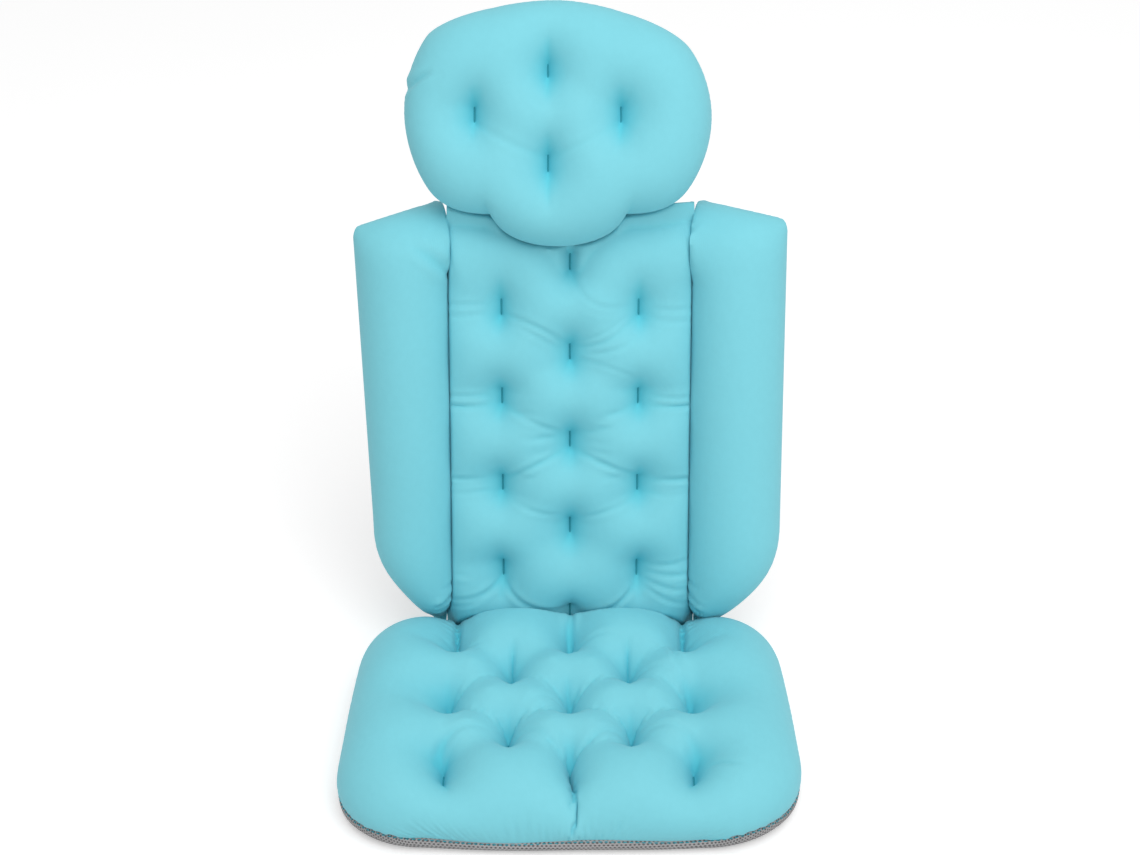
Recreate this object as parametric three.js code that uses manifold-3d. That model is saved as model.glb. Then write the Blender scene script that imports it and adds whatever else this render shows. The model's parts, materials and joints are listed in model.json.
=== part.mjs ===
// A long bath pillow for a small child: a tufted seat, a tufted back with a bolster on each
// side, and a head pillow that laps over the top of the back. Each cushion is a stretch cover
// over loose filling, closed behind by a shallow tray of spacer mesh, and its tufts are bars of
// thread sewn right through. Millimetres, +Z up, and the sitter faces -Y. The origin is on the
// seat's flat underside, on its centre line and between its second and third rows of tufts.
import * as THREE from "three";
import { mergeVertices } from "three/addons/utils/BufferGeometryUtils.js";
import Module from "manifold-3d";

const wasm = await Module();
wasm.setup();

// Cloth, thread and seams
const COVER = 1.2; // stretch fabric on thin wadding
const MESH = 3; // spacer mesh
const GAP = 0.3; // between pieces that touch
const SEAM_GAP = 0.5; // between the cover's edge and the mesh that it is sewn to
const FILL_GAP = 1; // from the loose filling to the side of the mesh tray
const THREAD = 1.6; // across a sewn bar or the threads that hold it
const TACK = 15; // length of a sewn bar
const TACK_POCKET = 2.2; // how deep the mesh is drawn in over a bar
const SEAM_HEIGHT = 14; // from the mesh face to the seam at a free edge
const FOLD_SEAM_HEIGHT = 4.4; // the same at an edge sewn to the next cushion
const SEAM_FADE = 45; // length over which a seam comes down to a fold
const SEAM_ROLL = 1.8; // radius of the rolled seam in a fold
const RIM_FALL = 0.6; // how far the tray's rim falls towards its inner edge
const TRAY_LEAN = 0.4; // how far the mesh tray's side leans out for each unit of height
const RIM_BAND = 12; // width along an edge in which the lining and the filling draw in from the seam

// Seat
const SEAT_FRONT_WIDTH = 358; // where the sides would meet the front edge
const SEAT_REAR_WIDTH = 326; // where they would meet the fold
const SEAT_DEPTH = 271;
const SEAT_CROWN = 64;
const SEAT_LEFT_CORNER = 60; // radius of the front corner on the left
const SEAT_RIGHT_CORNER = 76; // the same on the right
const SEAT_REAR_CORNER = 86;
const SEAT_BOW = 3; // how far the front edge falls back at its ends
const SEAT_EDGE = 34; // how far in from a free edge the cushion reaches its full height
const SEAT_FOLD_SLOPE = 62; // the same from the fold
const SEAT_TUFT_STEP = 46.5; // across, from one column of tufts to the next
const SEAT_TUFT_PITCH = 37; // from one row to the next
const SEAT_TUFT_FIRST = 72; // from the fold to the first row
const SEAT_TUFT_FLOOR = 23; // height of the cover at a tuft
const SEAT_TUFT_REACH = 46; // how far round a tuft the cover is pulled down
const SEAT_TUFT_DRAW = 3; // how sharply the pull fades from the tuft
const SEAT_CREASE_SHARE = 0.6; // part of that pull along a crease from a tuft to an edge
const SEAT_CREASE_REACH = 24; // how far beside such a crease the cover is pulled down
const SEAT_ORIGIN = 117.5; // from the fold to the origin under the seat
const SEAT_TUFT_MARGIN = 40; // least distance from the last row to the front edge

// Back
const RECLINE = 15; // degrees from upright
const BACK_WIDTH = 204;
const BACK_HEIGHT = 364;
const BACK_CROWN = 54;
const BACK_FOLD_SLOPE = 58;
const BACK_SIDE_SLOPE = 10;
const BACK_TOP_SLOPE = 64; // long, under the tongue of the head pillow
const BACK_SHOULDER_SLOPE = 30; // the same beside the head pillow
const BACK_TUFT_STEP = 54;
const BACK_TUFT_PITCH = 36.4;
const BACK_TUFT_FIRST = 32;
const BACK_TUFT_MARGIN = 30;
const BACK_TUFT_FLOOR = 26;
const BACK_TUFT_REACH = 23;
const BACK_TUFT_DRAW = 1.8;
const BACK_CREASE_SHARE = 0.27;
const BACK_CREASE_REACH = 45;

// Bolsters
const WING_ANGLE = 25; // degrees that they are folded forward
const WING_WIDTH = 72;
const WING_CROWN = 50;
const WING_SEAM_HEIGHT = 6; // low, so that the cover wraps round the outer edge
const WING_FOOT = 16; // from the waist fold up to their lower ends
const FOOT_RISE = 32; // rise of the lower end towards the outside
const WING_CORNER = 50; // height of the rounding above it
const SHOULDER_CORNER = 12; // the same below the upper end
const LEFT_SHOULDER_DROP = 13; // fall of the upper end towards the outside
const RIGHT_SHOULDER_DROP = 7;
const LEFT_WING_TAPER = 14; // how much narrower the left bolster is at its lower end
const WING_SIDE_SLOPE = 20;
const WING_OUTER_EDGE = 36;
const WING_END_EDGE = 26;

// Head pillow
const HEAD_TILT = 10; // degrees back from the plane of the back
const HEAD_WIDTH = 236;
const HEAD_UPPER_WIDTH = 200; // between the upper corners
const HEAD_LOWER_WIDTH = 194; // between the lower corners
const HEAD_TOP = 87; // from the centre up to the top
const HEAD_TOP_FALL = 10; // how far the top edge falls off towards the right
const HEAD_UPPER_CORNER = 60; // from the centre up to the upper corners
const HEAD_LOWER_CORNER = 58; // from the centre down to the lower corners
const HEAD_LOBE = 76; // from the centre down to the lobes beside the tongue
const TONGUE_WIDTH = 96;
const TONGUE_DROP = 24; // from the lobes down to the tongue's tip
const HEAD_CROWN = 48;
const HEAD_EDGE = 38;
const HEAD_TUFT_ACROSS = 56; // from the centre out to the side tufts
const HEAD_TUFT_UP = 34;
const HEAD_TUFT_DOWN = 36;
const HEAD_TUFT_SHIFT = -8; // sideways from the centre line of the pillow
const HEAD_TUFT_FLOOR = 27;
const HEAD_TUFT_REACH = 34;
const HEAD_TUFT_DRAW = 1.5;
const HEAD_SHIFT = -9; // sideways from the centre line of the back
const HEAD_RISE = 67; // from the neck seam up to the centre
const HEAD_STANDOFF = 18; // from the neck seam forward to the mesh face
const NECK_STRIP = 96; // width of the strip that carries the head pillow
const NECK_STRIP_CLOTH = 1.4;
const NECK_STRIP_RISE = 15; // from the neck seam up to where the strip meets the mesh
const NECK_STRIP_LAP = 18; // length sewn flat on the mesh

// Where the cushions meet: each stands clear of the rolled seam that it folds about.
const FOLD_CLEAR = SEAM_ROLL + GAP;
const FOLD_Y = SEAT_ORIGIN + FOLD_CLEAR;

const turquoise = new THREE.MeshStandardMaterial({ color: 0x82d2df, roughness: 0.75 });
const grey = new THREE.MeshStandardMaterial({ color: 0x92908f, roughness: 0.9 });
const white = new THREE.MeshStandardMaterial({ color: 0xf1f1ec, roughness: 1 });
const thread = new THREE.MeshStandardMaterial({ color: 0x4cabbc, roughness: 0.8 });

const { lerp, clamp, smoothstep, degToRad } = THREE.MathUtils;

// Solids and meshes

function toSolid(geometry) {
  const bare = new THREE.BufferGeometry();
  const flat = geometry.index ? geometry.toNonIndexed() : geometry;
  bare.setAttribute("position", flat.getAttribute("position").clone());
  const merged = mergeVertices(bare, 1e-4);
  return new wasm.Manifold(
    new wasm.Mesh({
      numProp: 3,
      vertProperties: merged.attributes.position.array,
      triVerts: new Uint32Array(merged.index.array),
    }),
  );
}

function toMesh(name, solid, material) {
  const made = solid.getMesh();
  const geometry = new THREE.BufferGeometry();
  geometry.setAttribute("position", new THREE.BufferAttribute(made.vertProperties, 3));
  geometry.setIndex(new THREE.BufferAttribute(made.triVerts, 1));
  geometry.computeVertexNormals();
  const mesh = new THREE.Mesh(geometry, material);
  mesh.name = name;
  return mesh;
}

// A closed surface sewn together from grids, strips between rings, and flat caps.
class Surface {
  constructor() {
    this.corners = [];
  }

  triangle(a, b, c) {
    for (const p of [a, b, c]) this.corners.push(p.x, p.y, p.z);
  }

  // Facing up where the rows run up the plan and the columns run to the right.
  grid(rows, facingUp) {
    for (let j = 0; j + 1 < rows.length; j++) {
      for (let i = 0; i + 1 < rows[j].length; i++) {
        const [a, b] = [rows[j][i], rows[j][i + 1]];
        const [c, d] = [rows[j + 1][i + 1], rows[j + 1][i]];
        const quad = facingUp ? [a, b, c, d] : [a, d, c, b];
        this.triangle(quad[0], quad[1], quad[2]);
        this.triangle(quad[0], quad[2], quad[3]);
      }
    }
    return this;
  }

  // Between two rings that run counter-clockwise: facing out where the second is the upper one.
  strip(lower, upper) {
    lower.forEach((a, i) => {
      const next = (i + 1) % lower.length;
      this.triangle(a, lower[next], upper[next]);
      this.triangle(a, upper[next], upper[i]);
    });
    return this;
  }

  // The same, with each quad split along its other diagonal.
  crossStrip(lower, upper) {
    lower.forEach((a, i) => {
      const next = (i + 1) % lower.length;
      this.triangle(a, lower[next], upper[i]);
      this.triangle(lower[next], upper[next], upper[i]);
    });
    return this;
  }

  // A flat fan from a point inside the ring, at the ring's own height.
  cap(ring, centre, facingUp) {
    const hub = new THREE.Vector3(centre.x, centre.y, ring[0].z);
    ring.forEach((a, i) => {
      const b = ring[(i + 1) % ring.length];
      if (facingUp) this.triangle(hub, a, b);
      else this.triangle(hub, b, a);
    });
    return this;
  }

  solid() {
    const geometry = new THREE.BufferGeometry();
    geometry.setAttribute("position", new THREE.Float32BufferAttribute(this.corners, 3));
    return toSolid(geometry);
  }
}

// Cushion panels. A panel lies flat on its mesh face: place(u, v) gives the plan point of a grid
// position from -1 to 1 each way, and the four edges say how the cushion swells from them.

// Grid lines in order: all the needed ones, and the wished ones that stand clear of the rest.
function gridLines(needed, wished, clear) {
  const kept = [...needed];
  for (const line of wished) {
    if (kept.every((other) => Math.abs(other - line) >= clear)) kept.push(line);
  }
  return kept.sort((a, b) => a - b);
}

const mirrored = (lines) => lines.flatMap((line) => [-line, line]);

// How much a rounded corner takes off the half-width at a distance from the end.
function cornerCut(fromEnd, radius) {
  const short = Math.max(0, radius - fromEnd);
  return radius - Math.sqrt(radius * radius - short * short);
}

// The same for a corner whose end slopes, so that its rounding starts at 45 degrees.
function slopedCut(fromEnd, height) {
  const radius = height * Math.SQRT2;
  const short = Math.max(0, height - fromEnd);
  return radius - Math.sqrt(radius * radius - short * short);
}

// A round edge swells at once, as a free seam does; a sloped one leaves room for a fold. Where an
// edge has a shoulder, that is its reach near the panel's sides.
function swell(distance, edge, u) {
  const shoulder = edge.shoulder ?? edge.reach;
  const reach = lerp(edge.reach, shoulder, smoothstep(Math.abs(u), 0.45, 0.75));
  const share = clamp(distance / reach, 0, 1);
  return edge.round ? Math.sqrt(1 - (1 - share) ** 2) : Math.sin((share * Math.PI) / 2);
}

// The four edges with their distances, measured across or along the panel.
function edgesOf(panel, u, v) {
  const here = panel.place(u, v);
  const { left, right, low, high } = panel.edges;
  return [
    { edge: left, distance: here.x - panel.place(-1, v).x },
    { edge: right, distance: panel.place(1, v).x - here.x },
    { edge: low, distance: here.y - panel.place(u, -1).y },
    { edge: high, distance: panel.place(u, 1).y - here.y },
  ];
}

function seamHeight(panel, u, v) {
  const nearFold = edgesOf(panel, u, v)
    .filter(({ edge }) => edge.folds)
    .map(({ distance }) => 1 - smoothstep(distance, 0, SEAM_FADE));
  return lerp(panel.seam, FOLD_SEAM_HEIGHT, Math.max(0, ...nearFold));
}

// The rise per unit of distance from a fold that keeps a cushion behind the plane halfway to its
// neighbour, which is turned up by an angle in degrees.
const foldFlank = (turn) => Math.tan(degToRad((180 - turn) / 2));

// How much of its full pull a tuft has at a place: all of it along the bar, and a share along a
// crease that runs from the tuft to an edge.
function pullAt(panel, tuft, here, v) {
  const { reach, draw, creaseShare, creaseReach } = panel.tufting;
  const line = panel.place(tuft.u, v);
  const across = here.x - line.x;
  const along = line.y - panel.place(tuft.u, tuft.v).y;
  const away = Math.hypot(across, Math.max(0, Math.abs(along) - TACK / 2 - 2));
  const pull = (1 - clamp(away / reach, 0, 1)) ** draw;
  if (!tuft.crease) return pull;
  const run = across * tuft.crease.x + along * tuft.crease.y;
  const aside = Math.abs(across * tuft.crease.y - along * tuft.crease.x);
  const crease = (1 - clamp(aside / creaseReach, 0, 1)) ** draw;
  return Math.max(pull, creaseShare * crease * smoothstep(run, 0, TACK));
}

function surfaceHeight(panel, u, v) {
  const here = panel.place(u, v);
  const seam = seamHeight(panel, u, v);
  let full = panel.crown - seam;
  let flank = Infinity;
  for (const { edge, distance } of edgesOf(panel, u, v)) {
    full *= swell(distance, edge, u);
    if (edge.flank) flank = Math.min(flank, FOLD_SEAM_HEIGHT + distance * edge.flank);
  }
  const height = Math.min(seam + full, flank);
  if (!panel.tufts.length) return height;
  const pull = Math.max(...panel.tufts.map((tuft) => pullAt(panel, tuft, here, v)));
  return height - Math.max(0, height - panel.tufting.floor) * pull;
}

// The grid's outline, counter-clockwise from its lower left corner.
function outlineOf(rows) {
  const last = rows.length - 1;
  const right = rows.slice(1, last).map((row) => row[row.length - 1]);
  const left = rows.slice(1, last).map((row) => row[0]);
  return [...rows[0], ...right, ...[...rows[last]].reverse(), ...left.reverse()];
}

// The plan point of a grid position, drawn in across its own row and along its own column.
function drawnIn(panel, u, v, depth) {
  const [left, here, right] = [-1, u, 1].map((column) => panel.place(column, v));
  const halfHeight = (panel.place(u, 1).y - panel.place(u, -1).y) / 2;
  const x = lerp(here.x, (left.x + right.x) / 2, (2 * depth) / (right.x - left.x));
  return new THREE.Vector2(x, panel.place(u, v * (1 - depth / halfHeight)).y);
}

// The outline drawn in by an amount at each point, and set at its own height.
function insetRing(panel, outline, inset, height) {
  const spots = outlineOf(panel.rows.map((v) => panel.columns.map((u) => ({ u, v }))));
  return spots.map(({ u, v }, i) => {
    const plan = drawnIn(panel, u, v, inset(outline[i]));
    return new THREE.Vector3(plan.x, plan.y, height(outline[i]));
  });
}

// The cover surface let down by a depth, and drawn in along its outline.
function innerGrid(panel, rows, depth, rimDepth) {
  return panel.rows.map((v, j) =>
    panel.columns.map((u, i) => {
      const fromEdge = Math.min(...edgesOf(panel, u, v).map(({ distance }) => distance));
      const share = clamp(fromEdge / RIM_BAND, 0, 1);
      const plan = drawnIn(panel, u, v, lerp(rimDepth, 0, share));
      return new THREE.Vector3(plan.x, plan.y, rows[j][i].z - (fromEdge > 0 ? depth : 0));
    }),
  );
}

// The bar of thread at a tuft, lying in its trough, with the threads that go through to a second
// bar behind the mesh. Returns the solid, and the cuts that make room for it.
function sewTuft(panel, tuft) {
  const { rows, columns } = panel;
  const centre = panel.place(tuft.u, tuft.v);
  const floor = surfaceHeight(panel, tuft.u, tuft.v);
  const reachV = TACK / panel.place(tuft.u, 1).distanceTo(panel.place(tuft.u, -1));
  const lean = panel.place(tuft.u, tuft.v + reachV).sub(panel.place(tuft.u, tuft.v - reachV));
  const at = columns.findIndex((u) => Math.abs(u - tuft.u) < 1e-6);
  const above = rows.findIndex((v) => v > tuft.v);
  const slopes = [columns[at - 1], columns[at + 1]].flatMap((u) =>
    [rows[above - 1], rows[above]].map((v) => {
      const rise = surfaceHeight(panel, u, v) - floor;
      return rise / panel.place(u, v).distanceTo(panel.place(tuft.u, v));
    }),
  );
  const slope = Math.max(...slopes);
  const halfDiagonal = THREAD * Math.SQRT1_2;
  const barZ = floor + halfDiagonal * Math.max(1, slope) + 2 * GAP * Math.hypot(1, slope);
  const turned = (geometry, z) => {
    geometry.rotateZ(-Math.atan2(lean.x, lean.y));
    return toSolid(geometry.translate(centre.x, centre.y, z));
  };
  const front = turned(new THREE.BoxGeometry(THREAD, TACK, THREAD).rotateY(Math.PI / 4), barZ);
  const rearTop = TACK_POCKET - GAP;
  const rear = turned(new THREE.BoxGeometry(THREAD, TACK, THREAD), rearTop - THREAD / 2);
  const length = barZ - rearTop + THREAD / 2;
  const stem = turned(new THREE.BoxGeometry(THREAD, THREAD, length), barZ - length / 2);
  const wide = THREAD + 2 * GAP;
  const bore = turned(new THREE.BoxGeometry(wide, wide, 4 * panel.crown), 0);
  const pocket = turned(new THREE.BoxGeometry(wide, TACK + 2 * GAP, 2 * TACK_POCKET), 0);
  return { bar: front.add(stem).add(rear), bore, pocket };
}

// The cover, filling, mesh tray and tufts of one panel, as a group of named meshes.
function cushion(name, panel) {
  const rows = panel.rows.map((v) =>
    panel.columns.map((u) => {
      const plan = panel.place(u, v);
      return new THREE.Vector3(plan.x, plan.y, surfaceHeight(panel, u, v));
    }),
  );
  const outline = outlineOf(rows);
  const hub = panel.place(0, 0);
  const lining = innerGrid(panel, rows, COVER, COVER);
  let cover = new Surface().grid(rows, true).grid(lining, false).strip(outlineOf(lining), outline).solid();

  const lean = (p) => p.z * TRAY_LEAN;
  const rimHeight = (p) => p.z - SEAM_GAP;
  const rim = insetRing(panel, outline, () => 0, rimHeight);
  const base = insetRing(panel, outline, lean, () => 0);
  const innerRim = insetRing(panel, outline, () => MESH, (p) => rimHeight(p) - RIM_FALL);
  const floor = insetRing(panel, outline, (p) => lean(p) + MESH, () => MESH);
  let mesh = new Surface()
    .cap(base, hub, false)
    .strip(base, rim)
    .crossStrip(rim, innerRim)
    .crossStrip(innerRim, floor)
    .cap(floor, hub, true)
    .solid();

  const fillTop = innerGrid(panel, rows, COVER + GAP, MESH + FILL_GAP);
  const fillInset = (p) => lean(p) + MESH + FILL_GAP;
  const fillBase = insetRing(panel, outline, fillInset, () => MESH + GAP);
  let fill = new Surface()
    .grid(fillTop, true)
    .strip(fillBase, outlineOf(fillTop))
    .cap(fillBase, hub, false)
    .solid();

  const group = new THREE.Group();
  panel.tufts.forEach((tuft, i) => {
    const { bar, bore, pocket } = sewTuft(panel, tuft);
    cover = cover.subtract(bore);
    fill = fill.subtract(bore);
    mesh = mesh.subtract(bore).subtract(pocket);
    group.add(toMesh(`${name}_tuft_${i + 1}`, bar, thread));
  });
  group.add(toMesh(`${name}_cover`, cover, turquoise));
  group.add(toMesh(`${name}_fill`, fill, white));
  group.add(toMesh(`${name}_mesh`, mesh, grey));
  return group;
}

// Diamond tufting: whole rows with a centre tuft alternate with rows set off by half a step.
// reach gives the columns of a row, in steps from the centre line.
function diamondTufts(first, pitch, limit, reach, toTuft) {
  const tufts = [];
  for (let row = 0; first + row * pitch <= limit; row++) {
    for (const column of reach(row)) tufts.push(toTuft(column, first + row * pitch));
  }
  return tufts;
}

// The grid lines at the two ends of every bar, so that it lies in a level trough.
function tackLines(tufts, length) {
  const half = (TACK + 2) / length;
  const centres = [...new Set(tufts.map((tuft) => tuft.v))];
  return centres.flatMap((v) => [v - half, v + half]);
}

// Seat: a rounded trapezoid, wider in front, that slopes down to the fold at its rear.
function seatPanel() {
  const meanHalf = (SEAT_FRONT_WIDTH + SEAT_REAR_WIDTH) / 4;
  const toV = (fromFold) => 1 - (2 * fromFold) / SEAT_DEPTH;
  const place = (u, v) => {
    const fromFold = ((1 - v) / 2) * SEAT_DEPTH;
    const frontCorner = u < 0 ? SEAT_LEFT_CORNER : SEAT_RIGHT_CORNER;
    let half = lerp(SEAT_REAR_WIDTH, SEAT_FRONT_WIDTH, fromFold / SEAT_DEPTH) / 2;
    half -= cornerCut(fromFold, SEAT_REAR_CORNER);
    half -= cornerCut(SEAT_DEPTH - fromFold, frontCorner);
    const bow = SEAT_BOW * ((u * fromFold) / SEAT_DEPTH) ** 2;
    return new THREE.Vector2(u * half, FOLD_Y - FOLD_CLEAR - fromFold + bow);
  };
  const step = SEAT_TUFT_STEP / meanHalf;
  const reach = (row) => (row % 2 ? [-1, 1] : [-2, 0, 2]);
  // The first row is creased to the fold, and the middle of the last row to the front edge.
  const lastRow = SEAT_DEPTH - SEAT_TUFT_MARGIN;
  const creaseOf = (column, fromFold) => {
    if (fromFold === SEAT_TUFT_FIRST) return new THREE.Vector2(0, 1);
    const front = column === 0 && fromFold + SEAT_TUFT_PITCH > lastRow;
    return front ? new THREE.Vector2(0, -1) : null;
  };
  const tufts = diamondTufts(SEAT_TUFT_FIRST, SEAT_TUFT_PITCH, lastRow, reach, (column, fromFold) => ({
    u: column * step,
    v: toV(fromFold),
    crease: creaseOf(column, fromFold),
  }));
  const free = { reach: SEAT_EDGE, round: true, folds: false };
  const fold = {
    reach: SEAT_FOLD_SLOPE,
    round: false,
    folds: true,
    flank: foldFlank(90 - RECLINE),
  };
  return {
    crown: SEAT_CROWN,
    seam: SEAM_HEIGHT,
    tufting: {
      floor: SEAT_TUFT_FLOOR,
      reach: SEAT_TUFT_REACH,
      draw: SEAT_TUFT_DRAW,
      creaseShare: SEAT_CREASE_SHARE,
      creaseReach: SEAT_CREASE_REACH,
    },
    place,
    tufts,
    edges: { left: free, right: free, low: free, high: fold },
    columns: gridLines(
      [-1, 1, 0, ...mirrored([step, 2 * step])],
      mirrored([1, 2, 4, 5, 7, 8].map((third) => (third / 3) * step).concat(0.98, 0.93, 0.87)),
      0.04,
    ),
    rows: gridLines(
      [-1, 1, ...tackLines(tufts, SEAT_DEPTH)],
      [2, 8, 20, 33].flatMap((d) => [toV(d), toV(SEAT_DEPTH - d)]),
      0.014,
    ),
  };
}

// Back: a straight panel with sloped sides, where the bolsters fold against it.
function backPanel() {
  const half = BACK_WIDTH / 2;
  const toV = (fromFold) => (2 * fromFold) / BACK_HEIGHT - 1;
  const place = (u, v) =>
    new THREE.Vector2(u * half, FOLD_CLEAR + ((v + 1) / 2) * BACK_HEIGHT);
  const step = BACK_TUFT_STEP / half;
  const reach = (row) => (row % 2 ? [-1, 1] : [0]);
  const tufts = diamondTufts(
    BACK_TUFT_FIRST,
    BACK_TUFT_PITCH,
    BACK_HEIGHT - BACK_TUFT_MARGIN,
    reach,
    (column, fromFold) => ({
      u: column * step,
      v: toV(fromFold),
      crease: column ? new THREE.Vector2(column, 0) : null,
    }),
  );
  const side = {
    reach: BACK_SIDE_SLOPE,
    round: false,
    folds: true,
    flank: foldFlank(WING_ANGLE),
  };
  const fold = {
    reach: BACK_FOLD_SLOPE,
    round: false,
    folds: true,
    flank: foldFlank(90 - RECLINE),
  };
  const top = {
    reach: BACK_TOP_SLOPE,
    shoulder: BACK_SHOULDER_SLOPE,
    round: false,
    folds: false,
  };
  return {
    crown: BACK_CROWN,
    seam: SEAM_HEIGHT,
    tufting: {
      floor: BACK_TUFT_FLOOR,
      reach: BACK_TUFT_REACH,
      draw: BACK_TUFT_DRAW,
      creaseShare: BACK_CREASE_SHARE,
      creaseReach: BACK_CREASE_REACH,
    },
    place,
    tufts,
    edges: { left: side, right: side, low: fold, high: top },
    columns: gridLines(
      [-1, 1, 0, ...mirrored([step])],
      mirrored([step / 4, step / 2, 0.75 * step, 0.925, 0.84, 1.25 * step]),
      0.05,
    ),
    rows: gridLines(
      [-1, 1, ...tackLines(tufts, BACK_HEIGHT)],
      [8, 18].flatMap((d) => [toV(d), toV(BACK_HEIGHT - d)]),
      0.02,
    ),
  };
}

const shoulderDrop = (side) => (side < 0 ? LEFT_SHOULDER_DROP : RIGHT_SHOULDER_DROP);

// Bolster: a plump tube along the back's side, rounded off at its lower outer corner.
function wingPanel(side) {
  const taper = side < 0 ? LEFT_WING_TAPER : 0;
  const height = BACK_HEIGHT - WING_FOOT;
  const place = (u, v) => {
    const outward = (side * u + 1) / 2;
    const upward = (v + 1) / 2;
    let width = WING_WIDTH - taper * (1 - upward);
    width -= slopedCut(upward * height, WING_CORNER);
    width -= slopedCut((1 - upward) * height, SHOULDER_CORNER);
    const top = BACK_HEIGHT - shoulderDrop(side) * outward;
    const foot = WING_FOOT + FOOT_RISE * outward;
    const y = FOLD_CLEAR + lerp(foot, top, upward);
    return new THREE.Vector2(side * (FOLD_CLEAR + outward * width), y);
  };
  const groove = { reach: WING_SIDE_SLOPE, round: false, folds: true };
  const outer = { reach: WING_OUTER_EDGE, round: true, folds: false };
  const end = { reach: WING_END_EDGE, round: true, folds: false };
  const ends = [2, 7, 17, 36].map((d) => (2 * d) / height);
  return {
    crown: WING_CROWN,
    seam: WING_SEAM_HEIGHT,
    place,
    tufts: [],
    edges: {
      left: side > 0 ? groove : outer,
      right: side > 0 ? outer : groove,
      low: end,
      high: end,
    },
    columns: gridLines([-1, 1], [0, ...mirrored([0.3, 0.6, 0.86])], 0.05),
    rows: gridLines([-1, 1], [...ends.flatMap((d) => [d - 1, 1 - d]), -0.45, 0, 0.45], 0.01),
  };
}

// Head pillow: a broad rounded shape whose lower edge has two lobes and a hanging tongue.
function headPanel() {
  const half = HEAD_WIDTH / 2;
  const tongueHalf = TONGUE_WIDTH / 2;
  const cornerHalf = (v) => lerp(HEAD_LOWER_WIDTH, HEAD_UPPER_WIDTH, (v + 1) / 2) / 2;
  const halfAt = (v) => cornerHalf(v) + (half - cornerHalf(0)) * (1 - v * v);
  const lowerEdge = (u) => {
    const lobe = lerp(HEAD_LOBE, HEAD_LOWER_CORNER, u ** 6);
    const across = (u * halfAt(-1)) / tongueHalf;
    return -lobe - TONGUE_DROP * Math.sqrt(Math.max(0, 1 - across * across));
  };
  const upperEdge = (u) => {
    const fall = HEAD_TOP_FALL * Math.max(0, u) ** 1.5;
    return lerp(HEAD_UPPER_CORNER, HEAD_TOP, (1 - u * u) ** 0.8) - fall;
  };
  const place = (u, v) =>
    new THREE.Vector2(u * halfAt(v), lerp(lowerEdge(u), upperEdge(u), (v + 1) / 2));
  const tuftAt = (x, y) => {
    const u = x / half;
    return { u, v: (2 * (y - lowerEdge(u))) / (upperEdge(u) - lowerEdge(u)) - 1 };
  };
  const tufts = [
    tuftAt(HEAD_TUFT_SHIFT, HEAD_TUFT_UP),
    tuftAt(HEAD_TUFT_SHIFT - HEAD_TUFT_ACROSS, 0),
    tuftAt(HEAD_TUFT_SHIFT + HEAD_TUFT_ACROSS, 0),
    tuftAt(HEAD_TUFT_SHIFT, -HEAD_TUFT_DOWN),
  ];
  const free = { reach: HEAD_EDGE, round: true, folds: false };
  const centre = HEAD_TUFT_SHIFT / half;
  const step = HEAD_TUFT_ACROSS / half;
  const notch = tongueHalf / halfAt(-1);
  const between = mirrored([0.25, 0.5, 0.75]).map((share) => centre + share * step);
  return {
    crown: HEAD_CROWN,
    seam: SEAM_HEIGHT,
    tufting: { floor: HEAD_TUFT_FLOOR, reach: HEAD_TUFT_REACH, draw: HEAD_TUFT_DRAW },
    place,
    tufts,
    edges: { left: free, right: free, low: free, high: free },
    columns: gridLines(
      [-1, 1, ...tufts.slice(0, 3).map((tuft) => tuft.u)],
      [...between, ...mirrored([notch, 0.97, 0.89, 0.76])],
      0.04,
    ),
    rows: gridLines(
      [-1, 1, ...tackLines(tufts, HEAD_TOP + HEAD_LOBE + TONGUE_DROP)],
      [...mirrored([0.95, 0.85]), 0.68, -0.6],
      0.06,
    ),
  };
}

// Seams and the neck strip

function rolledSeam(name, length) {
  const roll = new THREE.CylinderGeometry(SEAM_ROLL, SEAM_ROLL, length, 8);
  return toMesh(name, toSolid(roll), turquoise);
}

// From beside the neck seam the strip climbs to the mesh face and is sewn flat on it.
function neckStrip() {
  const face = HEAD_STANDOFF - GAP;
  const under = face - NECK_STRIP_CLOTH;
  const foot = FOLD_CLEAR * Math.SQRT1_2;
  const profile = new THREE.Shape();
  profile.moveTo(foot, foot);
  profile.lineTo(NECK_STRIP_RISE, face);
  profile.lineTo(NECK_STRIP_RISE + NECK_STRIP_LAP, face);
  profile.lineTo(NECK_STRIP_RISE + NECK_STRIP_LAP, under);
  profile.lineTo(NECK_STRIP_RISE + NECK_STRIP_CLOTH / 2, under);
  profile.lineTo(foot + NECK_STRIP_CLOTH, foot - NECK_STRIP_CLOTH / 2);
  const strip = new THREE.ExtrudeGeometry(profile, { depth: NECK_STRIP, bevelEnabled: false });
  // The profile's x and y become the pillow's up and forward directions.
  strip.translate(0, 0, -NECK_STRIP / 2);
  const toPillow = new THREE.Matrix4().set(0, 0, 1, 0, 1, 0, 0, 0, 0, 1, 0, 0, 0, 0, 0, 1);
  strip.applyMatrix4(toPillow);
  return toMesh("neck_strip", toSolid(strip), turquoise);
}

// A group that turns about a fold, holding a panel whose mesh face lies below that fold.
function foldedOn(position, rotation, drop, ...pieces) {
  const panel = new THREE.Group();
  panel.position.z = -drop;
  panel.add(...pieces);
  const pivot = new THREE.Group();
  pivot.position.copy(position);
  pivot.rotation.copy(rotation);
  pivot.add(panel);
  return pivot;
}

// Assembly: the back folds up from the seat, and carries the bolsters and the head pillow.

const wingX = BACK_WIDTH / 2 + FOLD_CLEAR;
const neckY = BACK_HEIGHT + 2 * FOLD_CLEAR;

function bolster(name, side) {
  return foldedOn(
    new THREE.Vector3(side * wingX, 0, FOLD_CLEAR),
    new THREE.Euler(0, -side * degToRad(WING_ANGLE), 0),
    FOLD_CLEAR,
    cushion(name, wingPanel(side)),
  );
}

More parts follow.
